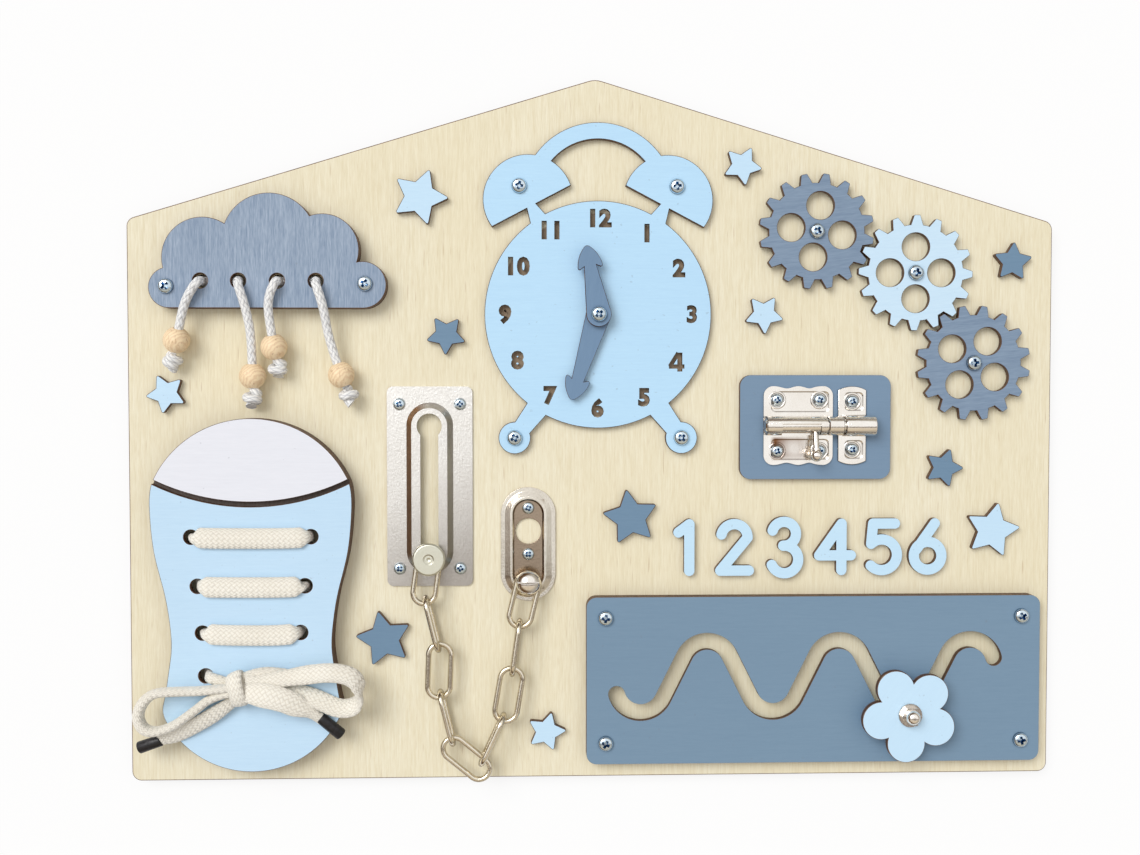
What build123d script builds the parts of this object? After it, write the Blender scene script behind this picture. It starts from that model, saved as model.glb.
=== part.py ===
from build123d import *
import math
import os

# A wooden busy board: a house-shaped plywood panel that lies on its back, with small
# activities fixed to its face.  Millimetres; X to the right, Y towards the roof, Z out
# of the face.  The origin is the middle of the back face.

# ---- plywood ----
PLY = 4.0               # thin plywood of every coloured shape
BOARD_W = 500.0
BOARD_T = 9.0
SIDE_H = 302.0          # straight side of the house shape
ROOF_RISE = 76.0
BOARD_R = 5.0           # corner radius
APEX_R = 12.0
FACE = BOARD_T          # height of the board's face

# ---- clearances ----
RUN = 0.3               # between pieces that move past each other
FIT = 0.1               # round a shank, pin or rod
SEAT = 0.05             # round a screw in its pilot hole
THROUGH = 200.0         # how far a drilled hole's cutter reaches

# ---- screws ----
SCREW_D = 3.0
SCREW_HEAD_D = 8.4
SCREW_HEAD_H = 2.6
SMALL_D = 2.6           # screws of the metal fittings
SMALL_HEAD_D = 6.6
SMALL_HEAD_H = 1.9
PIVOT_D = 4.2           # smooth-shanked screws that gears and hands turn on
SCREW_DEPTH = 7.0       # reach into the board

# ---- cloud with two pull cords ----
CLOUD_LIFT = 5.6        # plywood layer under the cloud, which holds the cords' channels
CLOUD_BASE = 65.5       # height of the flat bottom edge
CLOUD_END_L = (-225.4, 10.8)      # x and radius of the lobes that stand on the base
CLOUD_END_R = (-123.7, 12.4)
CLOUD_TOPS = ((-207.7, 91.9, 21.5), (-172.8, 101.3, 24.9), (-144.7, 96.3, 19.1))
CLOUD_SCREWS = ((-227.0, 77.0), (-122.6, 78.5))
CORD_D = 4.8
CORD_HOLE_D = 8.0
CORD_HOLE_Y = 79.9
CORD_HOLES_X = (-209.0, -189.1, -168.7, -148.4)
CORD_CHANNEL_W = 7.0
CORD_RISE = 12.0        # from the channel to the top of the arch in front of the cloud
BEAD_D = 14.0
BEAD_L = 12.6
BEAD_BORE = CORD_D + 0.5
KNOT_D = 11.4
KNOT_L = 9.4
# free part of each cord: points after the hole, the last one at the knot
CORD_FRONTS = (
    ((-215.4, 70.6, 22.0), (-218.8, 60.0, 20.7), (-223.2, 42.3, 16.8)),
    ((-184.7, 66.4, 22.0), (-182.0, 48.0, 17.6), (-182.4, 23.0, 16.6)),
    ((-173.2, 69.6, 22.1), (-172.3, 57.2, 20.7), (-169.8, 38.6, 16.8)),
    ((-143.9, 66.5, 22.1), (-141.6, 47.0, 17.6), (-133.2, 24.0, 16.6)),
)

# ---- lace-up shoe ----
SHOE_X = -182.9         # centre line
SHOE_LIFT = 8.0         # plywood layer under the shoe
SHOE_TOE_Y = 7.2        # top of the toe cap
SHOE_HEEL_Y = -181.0    # lowest point of the heel's round end
SHOE_SIDE = ((51.0, -24.9), (53.0, -45.0), (50.4, -67.0), (46.0, -84.5), (43.1, -102.0), (42.4, -115.0),
             (44.2, -129.0), (46.2, -141.5), (45.2, -154.2))
CAP_EDGE_Y = -37.0      # middle of the toe cap's lower edge
CAP_EDGE_R = 116.0
CAP_GAP = 2.6
LACE_ROWS = ((31.5, -55.5), (28.3, -81.6), (25.8, -106.5), (24.3, -129.3))
LACE_HOLE_D = 7.7
LACE_D = 5.0
LACE_FRONT = 24.1       # height of the lace in front of the plate
LACE_BACK = 12.4        # height of the lace behind it
LACE_BOW = (-187.3, -134.9, 27.4)
BOW_SIZE = (11.0, 17.0, 11.0)
AGLET_D = 6.8
AGLET_L = 13.0

# ---- clock ----
CLOCK = (1.5, 62.6)
DIAL_R = 61.0
BELL_X = 37.6           # bells, from the clock's centre line
BELL_Y = 61.4           # and above its centre
BELL_R = 24.2
BELL_TILT = 27.8        # slope of the bells' flat edge
BELL_CUT = 3.8          # flat edge below the bell's centre
HANDLE_R_OUT = 41.4
HANDLE_R_IN = 32.5
STEM_TOP = 5.0
STEM_FOOT = 12.5
LEG_W_TOP = 12.6
LEG_W_FOOT = 9.0
FOOT = (45.0, -66.2)
FOOT_R = 8.6
BELL_SCREW = (42.4, 68.8)
WASHER_T = 1.0
WASHER_D = 12.6
HAND_T = 3.0
HAND_HUB_R = 6.7
HAND_NECK = 6.4
HAND_HEAD_L = 13.6
HAND_HEAD_W = 13.6
HOUR_L = 37.5
MINUTE_L = 48.5
HOUR_ANGLE = 10.3       # anticlockwise from straight up
MINUTE_ANGLE = -197.6

# ---- gears ----
GEAR_1 = (119.3, 107.6)
GEAR_SPACING = 58.3     # centre distance of a meshing pair
GEAR_LINE_12 = -22.3    # direction from the first gear to the second
GEAR_LINE_23 = -56.6
TEETH = 16
GEAR_R_OUT = 31.2
GEAR_R_ROOT = 26.0
TOOTH_ROOT_W = 6.6
TOOTH_TIP_W = 3.3
TOOTH_ROUND = 0.7
GEAR_PHASE = 13.0
GEAR_HOLE_R = 7.6
GEAR_HOLE_AT = 14.0
GEAR_HOLE_PHASES = (82.0, 90.0, 57.0)
GEAR_WASHER_T = 1.2

# ---- barrel bolt on its panel ----
LATCH_PANEL = (119.4, 2.0)
LATCH_PANEL_W = 82.2
LATCH_PANEL_H = 56.4
LATCH_PANEL_R = 6.0
LATCH = (109.8, 2.9)    # middle of the bolt's plate, on the axis of the rod
LATCH_W = 37.6
LATCH_H = 43.4
LATCH_CORNER_R = 5.2
SHEET = 1.2             # sheet metal of bolt, keeper and chain plates
LATCH_SCREW = (11.6, 13.8)
ROD_D = 8.0
BARREL_WALL = 1.0
BARREL_X = (91.9, 123.8)
WINDOW_X = (99.6, 120.6)
ROD_X = (90.8, 146.4)
PEG_X = 117.9
PEG_D = 3.4
PEG_BALL_D = 6.4
PEG_REACH = 16.4        # from the rod's axis to the middle of the ball
PEG_LIFT = 15.0         # rest angle of the peg above the plate
KEEPER = (139.2, 15.4)  # middle and width of its two tabs
KEEPER_H = 42.4
KEEPER_SCREW = 13.0
KEEPER_LOOP_X = (134.2, 150.4)

# ---- door chain: slide plate, stud plate and nine links ----
SLIDE = (-89.2, -29.8)
SLIDE_W = 46.0
SLIDE_H = 107.8
SLIDE_R = 3.4
SLIDE_SCREW = (16.3, 44.4)
RAIL_W = 27.0
RAIL_TOP = 16.4         # upper end of the raised rail
RAIL_END = -78.2
RAIL_RISE = 5.0
RAIL_SLOPE = 38.0       # slant of the rail's walls, from upright
SLOT_W = 9.6
KEYHOLE_D = 13.4
KEYHOLE_Y = 2.9
KNOB_Y = -68.0          # knob at rest, at the lower end of the slot
KNOB_FOOT_D = 12.0
KNOB_FOOT_T = 2.6
KNOB_NECK_D = 6.0
KNOB_HEAD_D = 17.4
KNOB_HEAD_T = 2.8
STUD_PLATE = (-36.2, -61.2)
STUD_PLATE_W = 29.6
STUD_PLATE_H = 61.8
STUD_RIM = 4.0          # height of its pressed rim
STUD_RECESS_W = 15.7
STUD_SCREWS_Y = (-41.6, -66.6)
STUD_HOLE_Y = -54.1
STUD_HOLE_D = 14.0
STUD_Y = -81.0
STUD_D = 13.4
STUD_DOME = 4.6
LINK_L = 32.0
LINK_W = 15.0
WIRE = 3.0
LINK_GAP = 0.2
CHAIN_LIFT = 1.6        # standing links above the board's face
LINK_ANGLES = (-103.5, -98.2, -99.7, -115.1, -219.5, -256.4, -272.1, -256.2, -278.1)

# ---- wave panel with the flower ----
WAVE = (118.8, -134.8)
WAVE_W = 247.4
WAVE_H = 90.6
WAVE_R = 5.4
WAVE_LIFT = 3.6
WAVE_SCREW_IN = (10.3, 11.3)    # from the panel's edges to its screws
WAVE_ENDS = (29.3, 38.35)       # from the panel's ends to the first trough and the last crest
WAVE_FOOT = 28.0        # from the panel's lower edge to the troughs
WAVE_RISE = 38.5
WAVE_BEND_R = 13.5
WAVE_BENDS = 6
WAVE_END_TURN = 75.0    # how far the first and last bends go on past their trough and crest
WAVE_SLOT_W = 9.0
FLOWER_TROUGH = 2       # the flower rests in the last trough
RUNNER_D = 14.0
RUNNER_T = 2.6
SLEEVE_D = 8.2
BOLT_D = 5.0
FLOWER_BASE = 23.0      # height of the flower's back
PETAL_R = 10.2
PETAL_AT = 15.6
PETAL_PHASE = 47.0
NUT_D = 9.2
NUT_H = 9.0

# ---- stars and numerals ----
STAR_INNER = 0.52       # inner corners, as a share of the radius
STAR_ROUND = 0.9
BIG_STAR = 16.0
SMALL_STAR = 11.5
BLUE_STARS = (
    (-93.9, 125.3, BIG_STAR, 70.0),
    (79.2, 142.8, SMALL_STAR, 63.0),
    (91.2, 63.0, SMALL_STAR, 57.0),
    (-228.9, 20.3, SMALL_STAR, 44.0),
    (217.2, -54.4, BIG_STAR, 6.0),
    (-26.5, -163.0, SMALL_STAR, 3.0),
)
GREY_STARS = (
    (227.0, 91.7, SMALL_STAR, 86.0),
    (-80.1, 51.7, SMALL_STAR, 52.0),
    (190.1, -20.2, SMALL_STAR, 71.0),
    (19.2, -46.8, BIG_STAR, 27.0),
    (-113.9, -111.9, BIG_STAR, 30.0),
)
NUMERAL_Y = -63.2
NUMERAL_H = 31.0
NUMERAL_STROKE = 5.7
NUMERAL_XS = (49.5, 75.5, 103.0, 130.5, 157.0, 181.5)

# ---- heights that follow ----
CLOUD_TOP = FACE + CLOUD_LIFT + PLY
CORD_LOW = FACE + CORD_D / 2 + 0.1
SHOE_TOP = FACE + SHOE_LIFT + PLY
PLY_TOP = FACE + PLY
SHEET_TOP = FACE + SHEET
RAIL_Z = FACE + RAIL_RISE
LATCH_TOP = PLY_TOP + SHEET
BARREL_R = ROD_D / 2 + FIT + BARREL_WALL
ROD_Z = LATCH_TOP + BARREL_R - SHEET / 2
CHAIN_Z = FACE + CHAIN_LIFT + LINK_W / 2
HEAD_Z = CHAIN_Z + WIRE / 2 + RUN
WAVE_TOP = FACE + WAVE_LIFT + PLY
WAVE_X = WAVE[0] - WAVE_W / 2 + WAVE_ENDS[0]
WAVE_TROUGH_Y = WAVE[1] - WAVE_H / 2 + WAVE_FOOT
WAVE_HALF = (WAVE_W - sum(WAVE_ENDS)) / (WAVE_BENDS - 1)
FLOWER_TOP = FLOWER_BASE + PLY
MINUTE_Z = PLY_TOP + WASHER_T + RUN
HOUR_Z = MINUTE_Z + HAND_T + RUN
HAND_SCREW_Z = HOUR_Z + HAND_T + RUN
GEAR_Z = FACE + GEAR_WASHER_T + RUN
GEAR_SCREW_Z = GEAR_Z + PLY + RUN


def plate(outline, low, thickness):
    """A flat piece cut from sheet, with its underside at height low."""
    return Pos(0, 0, low) * extrude(outline, amount=thickness)


def hole(x, y, diameter):
    """A round hole right through everything at that place."""
    return Pos(x, y, 0) * Cylinder(diameter / 2, THROUGH)


def group(solids):
    return Compound(children=list(solids))


def save(name, shape):
    export_step(shape, f"parts/{name}.step")


def racetrack(x, low, high, width):
    """An upright slot outline with round ends, from y = low to y = high."""
    return Pos(x, (low + high) / 2) * SlotOverall(high - low, width, rotation=90)


# ---- screws -------------------------------------------------------------------------

def dome_arc(radius, low, high):
    """Half the outline of a dome round the Z axis, from its rim to its top."""
    rise = high - low
    ball = (radius ** 2 + rise ** 2) / (2 * rise)
    turn = math.asin(radius / ball) / 2
    return ThreePointArc((radius, low), (ball * math.sin(turn), high - ball * (1 - math.cos(turn))), (0, high))


def screw(x, y, seat, shank_d, head_d, head_h):
    """A dome-headed screw with its head on the height seat and its point in the board."""
    reach = seat - FACE + SCREW_DEPTH
    side = head_h * 0.35
    profile = make_face([
        Polyline((0, head_h), (0, -reach), (shank_d / 2, -reach), (shank_d / 2, 0), (head_d / 2, 0),
                 (head_d / 2, side)),
        dome_arc(head_d / 2, side, head_h),
    ])
    return Pos(x, y, seat) * revolve(Plane.XZ * profile, Axis.Z)


def wood_screw(x, y, seat):
    return screw(x, y, seat, SCREW_D, SCREW_HEAD_D, SCREW_HEAD_H)


def small_screw(x, y, seat):
    return screw(x, y, seat, SMALL_D, SMALL_HEAD_D, SMALL_HEAD_H)


def pivot_screw(x, y, seat):
    return screw(x, y, seat, PIVOT_D, SCREW_HEAD_D, SCREW_HEAD_H)


def cut_holes(solid, places, diameter):
    for x, y in places:
        solid -= hole(x, y, diameter)
    return solid


def four(centre, offset):
    """The four corners of a screw pattern."""
    return [(centre[0] + sx * offset[0], centre[1] + sy * offset[1]) for sx in (-1, 1) for sy in (-1, 1)]


# ---- places that several pieces share ----------------------------------------------

def gear_places():
    places = [GEAR_1]
    for angle in (GEAR_LINE_12, GEAR_LINE_23):
        x, y = places[-1]
        turn = math.radians(angle)
        places.append((x + GEAR_SPACING * math.cos(turn), y + GEAR_SPACING * math.sin(turn)))
    return places


def clock_screws():
    xs = (-1, 1)
    bells = [(CLOCK[0] + s * BELL_SCREW[0], CLOCK[1] + BELL_SCREW[1]) for s in xs]
    feet = [(CLOCK[0] + s * FOOT[0], CLOCK[1] + FOOT[1]) for s in xs]
    return bells + feet


def slide_screws():
    return four(SLIDE, SLIDE_SCREW)


def stud_screws():
    return [(STUD_PLATE[0], y) for y in STUD_SCREWS_Y]


def latch_screws():
    return four(LATCH, LATCH_SCREW)


def keeper_screws():
    return [(KEEPER[0], LATCH[1] + s * KEEPER_SCREW) for s in (-1, 1)]


def wave_screws():
    inset_x, inset_y = WAVE_SCREW_IN
    return four(WAVE, (WAVE_W / 2 - inset_x, WAVE_H / 2 - inset_y))


# ---- board --------------------------------------------------------------------------

def back_board():
    half = BOARD_W / 2
    rounding = APEX_R * (math.hypot(half, ROOF_RISE) / half - 1)
    low = -(SIDE_H + ROOF_RISE - rounding) / 2
    eaves = low + SIDE_H
    outline = Polygon((-half, low), (half, low), (half, eaves), (0, eaves + ROOF_RISE), (-half, eaves),
                      align=None)
    apex = outline.vertices().sort_by(Axis.Y)[-1:]
    outline = fillet(apex, APEX_R)
    sides = [v for v in outline.vertices() if abs(v.X) > half - 1]
    outline = fillet(sides, BOARD_R)
    board = extrude(outline, amount=BOARD_T)
    pilots = (
        (list(CLOUD_SCREWS) + clock_screws() + wave_screws(), SCREW_D),
        (slide_screws() + stud_screws() + latch_screws() + keeper_screws(), SMALL_D),
        (gear_places() + [CLOCK], PIVOT_D),
    )
    depth = SCREW_DEPTH + 0.4
    for places, diameter in pilots:
        for x, y in places:
            board -= Pos(x, y, FACE - depth / 2) * Cylinder(diameter / 2 + SEAT, depth)
    return board


# ---- cloud and pull cords -----------------------------------------------------------

def cloud_outline():
    ends = [(x, CLOUD_BASE + r, r) for x, r in (CLOUD_END_L, CLOUD_END_R)]
    lobes = [ends[0], *CLOUD_TOPS, ends[1]]
    body = [(ends[0][0], CLOUD_BASE), (ends[1][0], CLOUD_BASE)] + [(x, y) for x, y, r in lobes[::-1]]
    outline = Polygon(*body, align=None)
    for x, y, r in lobes:
        outline += Pos(x, y) * Circle(r)
    return outline


def cloud_plate():
    cloud = plate(cloud_outline(), FACE + CLOUD_LIFT, PLY)
    cloud = cut_holes(cloud, CLOUD_SCREWS, SCREW_D + 2 * FIT)
    return cut_holes(cloud, [(x, CORD_HOLE_Y) for x in CORD_HOLES_X], CORD_HOLE_D)


def cloud_spacer():
    """The lower layer, with a channel that joins each pair of cord holes."""
    spacer = plate(cloud_outline(), FACE, CLOUD_LIFT)
    for left, right in (CORD_HOLES_X[:2], CORD_HOLES_X[2:]):
        channel = Pos((left + right) / 2, CORD_HOLE_Y) * SlotCenterToCenter(right - left, CORD_CHANNEL_W)
        spacer -= plate(channel, FACE, CLOUD_LIFT)
    return cut_holes(spacer, CLOUD_SCREWS, SCREW_D + 2 * FIT)


def tube(points, diameter):
    """A round cord: straight runs joined by the largest tangent arcs that the runs allow."""
    spots = [Vector(*p) for p in points]
    runs = [b - a for a, b in zip(spots, spots[1:])]
    radii = []
    for before, after in zip(runs, runs[1:]):
        half_turn = math.radians(before.get_angle(after)) / 2
        radii.append(0.45 * min(before.length, after.length) / math.tan(half_turn))
    path = FilletPolyline(*spots, radius=radii)
    start = Plane(origin=path @ 0, z_dir=path % 0)
    return sweep(start * Circle(diameter / 2), path=path)


def cord_route(first):
    """From one knot up through the cloud's hole, along the channel and out to the other knot."""
    left, right = CORD_FRONTS[first], CORD_FRONTS[first + 1]
    x1, x2 = CORD_HOLES_X[first], CORD_HOLES_X[first + 1]
    high = CORD_LOW + CORD_RISE
    inside = [(x1, CORD_HOLE_Y, high), (x1, CORD_HOLE_Y, CORD_LOW), (x2, CORD_HOLE_Y, CORD_LOW),
              (x2, CORD_HOLE_Y, high)]
    return list(left[::-1]) + inside + list(right)


def cord_end(front):
    """The plane at a cord's knot, looking up the cord."""
    above, end = Vector(*front[-2]), Vector(*front[-1])
    return Plane(origin=end, z_dir=above - end)


def wooden_beads():
    half = BEAD_L / 2
    ball = BEAD_D / 2
    rim = math.sqrt(ball ** 2 - half ** 2)
    bore = BEAD_BORE / 2
    profile = make_face([
        Polyline((rim, half), (bore, half), (bore, -half), (rim, -half)),
        ThreePointArc((rim, -half), (ball, 0), (rim, half)),
    ])
    bead = revolve(Plane.XZ * profile, Axis.Z)
    return group(cord_end(f) * Pos(0, 0, half + RUN) * bead for f in CORD_FRONTS)


def cord_knots():
    top = CORD_D * 0.55
    profile = make_face([
        Polyline((top, -KNOT_L), (0, -KNOT_L), (0, 0), (top, 0)),
        ThreePointArc((top, 0), (KNOT_D / 2, -KNOT_L / 2), (top, -KNOT_L)),
    ])
    knot = revolve(Plane.XZ * profile, Axis.Z)
    return group(cord_end(f) * knot for f in CORD_FRONTS)


# ---- shoe ---------------------------------------------------------------------------

def shoe_outline():
    side = [(SHOE_X + x, y) for x, y in SHOE_SIDE]
    toe_x = SHOE_SIDE[0][0]
    toe = ThreePointArc((SHOE_X - toe_x, side[0][1]), (SHOE_X, SHOE_TOE_Y), side[0])
    heel_x = SHOE_SIDE[-1][0]
    heel = ThreePointArc(side[-1], (SHOE_X, SHOE_HEEL_Y), (SHOE_X - heel_x, side[-1][1]))
    right = Spline(*side, tangents=(toe % 1, heel % 0))
    left = mirror(right, Plane.YZ.offset(SHOE_X))
    return make_face([toe, right, heel, left])


def cap_line(gap):
    """Everything above the toe cap's curved lower edge, moved down by gap."""
    return Pos(SHOE_X, CAP_EDGE_Y - gap + CAP_EDGE_R) * Circle(CAP_EDGE_R)


def lace_holes():
    return [(SHOE_X + s * half, y) for half, y in LACE_ROWS for s in (-1, 1)]


def shoe_toe_cap():
    return plate(shoe_outline() & cap_line(0), FACE + SHOE_LIFT, PLY)


def shoe_plate():
    body = plate(shoe_outline() - cap_line(CAP_GAP), FACE + SHOE_LIFT, PLY)
    return cut_holes(body, lace_holes(), LACE_HOLE_D)


def shoe_spacer():
    """The lower layer, with a pocket behind each column of lace holes."""
    top, bottom = LACE_ROWS[0], LACE_ROWS[-1]
    left = slot_between((SHOE_X - top[0], top[1]), (SHOE_X - bottom[0], bottom[1]), 13)
    right = slot_between((SHOE_X + top[0] - 8, top[1]), (SHOE_X + bottom[0] - 4, bottom[1]), 27)
    return plate(shoe_outline(), FACE, SHOE_LIFT) - plate(left + right, FACE, SHOE_LIFT)


def slot_between(a, b, width):
    run = Vector(*b) - Vector(*a)
    middle = (Vector(*a) + Vector(*b)) * 0.5
    angle = math.degrees(math.atan2(run.Y, run.X))
    return Pos(middle.X, middle.Y) * SlotCenterToCenter(run.length, width, rotation=angle)


def lace_route():
    """From the bow into the lowest left hole, bar by bar to the top and back down inside."""
    bow_x, bow_y = LACE_BOW[:2]
    side = BOW_SIZE[0] / 2 - 1
    points = [(bow_x - side, bow_y + 1.2, LACE_FRONT + 0.4)]
    x, y = SHOE_X - LACE_ROWS[3][0], LACE_ROWS[3][1]
    points += [(x, y, LACE_FRONT), (x, y, LACE_BACK)]
    step = -1
    for half, y in LACE_ROWS[2::-1]:
        near, far = SHOE_X + step * half, SHOE_X - step * half
        points += [(near, y, LACE_BACK), (near, y, LACE_FRONT), (far, y, LACE_FRONT), (far, y, LACE_BACK)]
        step = -step
    x, y = SHOE_X + LACE_ROWS[3][0], LACE_ROWS[3][1]
    inner = x - 9
    points += [(inner + 1, LACE_ROWS[0][1] - 14, LACE_BACK), (inner, y + 16, LACE_BACK)]
    points += [(x, y, LACE_BACK), (x, y, LACE_FRONT), (bow_x + side, bow_y + 0.6, LACE_FRONT + 0.4)]
    return points


def bow_left_loop():
    return [(-192.0, -131.6, 30.4), (-211.0, -133.4, 29.8), (-230.0, -135.2, 28.0), (-243.0, -144.4, 26.8),
            (-238.6, -156.2, 28.0), (-222.0, -154.2, 29.6), (-206.4, -147.6, 30.2), (-191.8, -138.6, 30.2)]


def bow_right_loop():
    return [(-182.6, -129.8, 30.4), (-163.0, -126.4, 30.2), (-143.4, -122.8, 29.2), (-129.0, -127.6, 28.2),
            (-124.6, -140.4, 27.6), (-135.0, -149.4, 27.8), (-147.0, -143.0, 29.0), (-162.0, -135.8, 30.2),
            (-182.6, -135.8, 30.4)]


def bow_left_tail():
    return [(-191.4, -141.8, 25.0), (-206.0, -149.6, 24.4), (-222.0, -159.6, 25.2), (-240.6, -166.2, 24.4)]


def bow_right_tail():
    return [(-183.0, -141.4, 25.0), (-168.0, -141.6, 24.2), (-152.0, -147.0, 25.0), (-136.8, -158.8, 25.2)]


def lace_knot():
    """The middle of the bow, where the strands cross."""
    box = Pos(*LACE_BOW) * Box(*BOW_SIZE)
    return fillet(box.edges(), 3.6)


def aglet(tail):
    before, end = Vector(*tail[-2]), Vector(*tail[-1])
    back = Plane(origin=end, z_dir=before - end)
    sleeve = Cylinder(AGLET_D / 2, AGLET_L) - Cylinder(LACE_D / 2 + SEAT, AGLET_L)
    return back * Pos(0, 0, AGLET_L / 2 - 0.5) * sleeve


# ---- clock --------------------------------------------------------------------------

def clock_outline():
    """The dial with its handle, and the bell, stem, leg and foot of one side."""
    dial = Circle(DIAL_R)
    tilt = math.radians(BELL_TILT)
    up = (math.sin(tilt), math.cos(tilt))
    along = (math.cos(tilt), -math.sin(tilt))
    flat = (BELL_X - BELL_CUT * up[0], BELL_Y - BELL_CUT * up[1])
    below = Pos(flat[0] - up[0] * BELL_R, flat[1] - up[1] * BELL_R)
    bell = Pos(BELL_X, BELL_Y) * Circle(BELL_R)
    bell -= below * Rectangle(4 * BELL_R, 2 * BELL_R, rotation=-BELL_TILT)
    reach = math.hypot(*flat) - DIAL_R + 6
    inner = (flat[0] - up[0] * reach, flat[1] - up[1] * reach)
    stem = taper((flat[0] + up[0], flat[1] + up[1]), inner, STEM_TOP, STEM_FOOT)
    hip = (DIAL_R - 3) / math.hypot(*FOOT)
    leg = taper((FOOT[0] * hip - 1.5, FOOT[1] * hip), FOOT, LEG_W_TOP, LEG_W_FOOT)
    half = bell + stem + leg + Pos(*FOOT) * Circle(FOOT_R)
    ring = Pos(0, BELL_Y) * (Circle(HANDLE_R_OUT) - Circle(HANDLE_R_IN))
    handle = ring & Pos(0, BELL_Y + HANDLE_R_OUT) * Rectangle(4 * HANDLE_R_OUT, 2 * HANDLE_R_OUT)
    return dial + handle, half


def taper(start, end, start_width, end_width):
    """A straight bar that changes width on its way."""
    run = Vector(*end) - Vector(*start)
    across = Vector(-run.Y, run.X).normalized()
    a, b = Vector(*start), Vector(*end)
    corners = (a + across * (start_width / 2), a - across * (start_width / 2), b - across * (end_width / 2),
               b + across * (end_width / 2))
    return Polygon(*[(c.X, c.Y) for c in corners], align=None)


def clock_face():
    middle, half = clock_outline()
    side = plate(half, FACE, PLY)
    face = Pos(*CLOCK) * (plate(middle, FACE, PLY) + side + mirror(side, Plane.YZ))
    face = cut_holes(face, clock_screws(), SCREW_D + 2 * FIT)
    return cut_holes(face, [CLOCK], PIVOT_D + 2 * FIT)


def hand(length, low, angle):
    """A clock hand: round hub, tapering arm and spade-shaped head."""
    head = length - HAND_HEAD_L
    arm = Polygon((-HAND_HUB_R, 0), (HAND_HUB_R, 0), (HAND_NECK / 2, head + 3), (-HAND_NECK / 2, head + 3),
                  align=None)
    barb = HAND_HEAD_W / 2
    edge = ThreePointArc((barb, head), (barb * 0.78, head + HAND_HEAD_L * 0.52), (0, length))
    under = Line((barb, head), (0, head + 4))
    spade = make_face([under, edge, mirror(edge, Plane.YZ), mirror(under, Plane.YZ)])
    barbs = spade.vertices().sort_by(Axis.Y)[:2]
    spade = fillet(barbs, 1.0)
    tip = spade.vertices().sort_by(Axis.Y)[-1:]
    spade = fillet(tip, 2.2)
    outline = Circle(HAND_HUB_R) + arm + spade - Circle(PIVOT_D / 2 + FIT)
    return Pos(*CLOCK, low) * Rot(0, 0, angle) * extrude(outline, amount=HAND_T)


def washer(x, y, low, thickness, diameter=WASHER_D):
    ring = Cylinder(diameter / 2, thickness) - Cylinder(PIVOT_D / 2 + FIT, thickness)
    return Pos(x, y, low + thickness / 2) * ring


def pivot_washers():
    gears = [washer(x, y, FACE, GEAR_WASHER_T) for x, y in gear_places()]
    return group([washer(*CLOCK, PLY_TOP, WASHER_T)] + gears)


def pivot_screws():
    gears = [pivot_screw(x, y, GEAR_SCREW_Z) for x, y in gear_places()]
    return group([pivot_screw(*CLOCK, HAND_SCREW_Z)] + gears)


# ---- gears --------------------------------------------------------------------------

def gear_phases():
    """Angles that put each gear's teeth in the gaps of the one before it."""
    pitch = 360 / TEETH
    phases = [GEAR_PHASE]
    for line in (GEAR_LINE_12, GEAR_LINE_23):
        phases.append(pitch / 2 + 180 + 2 * line - phases[-1])
    return phases


def gear(index):
    tooth = Polygon((GEAR_R_ROOT - 1, -TOOTH_ROOT_W / 2), (GEAR_R_ROOT, -TOOTH_ROOT_W / 2),
                    (GEAR_R_OUT, -TOOTH_TIP_W / 2), (GEAR_R_OUT, TOOTH_TIP_W / 2),
                    (GEAR_R_ROOT, TOOTH_ROOT_W / 2), (GEAR_R_ROOT - 1, TOOTH_ROOT_W / 2), align=None)
    tooth = fillet(tooth.vertices().sort_by(Axis.X)[-2:], TOOTH_ROUND)
    outline = Circle(GEAR_R_ROOT)
    for spot in PolarLocations(0, TEETH):
        outline += spot * tooth
    outline = Rot(0, 0, gear_phases()[index]) * outline
    for spot in PolarLocations(GEAR_HOLE_AT, 4, start_angle=GEAR_HOLE_PHASES[index]):
        outline -= spot * Circle(GEAR_HOLE_R)
    outline -= Circle(PIVOT_D / 2 + FIT)
    x, y = gear_places()[index]
    return Pos(x, y, GEAR_Z) * extrude(outline, amount=PLY)


# ---- barrel bolt --------------------------------------------------------------------

def latch_panel():
    outline = Pos(*LATCH_PANEL) * RectangleRounded(LATCH_PANEL_W, LATCH_PANEL_H, LATCH_PANEL_R)
    return cut_holes(plate(outline, FACE, PLY), latch_screws() + keeper_screws(), SMALL_D + 2 * FIT)


def lengthwise(x_range, radius):
    """A cylinder along the rod's axis."""
    low, high = x_range
    return Pos((low + high) / 2, LATCH[1], ROD_Z) * Cylinder(radius, high - low, rotation=(0, 90, 0))


def wavy_edge(side):
    """Upper or lower edge of the bolt's plate: soft waves between two rounded corners."""
    w, h, r = LATCH_W / 2, LATCH_H / 2 - 0.4, LATCH_CORNER_R
    x, y = LATCH
    wave = [(r - w, h), (-w * 0.3, h - 1.2), (0, h), (w * 0.3, h - 1.2), (w - r, h)]
    edges = [Spline(*[(x + a, y + side * b) for a, b in wave], tangents=((1, 0), (1, 0)))]
    cut = r * math.sqrt(0.5)
    for s in (-1, 1):
        middle = (x + s * (w - r + cut), y + side * (h - r + cut))
        edges.append(ThreePointArc((x + s * w, y + side * (h - r)), middle, (x + s * (w - r), y + side * h)))
    return edges


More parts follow.
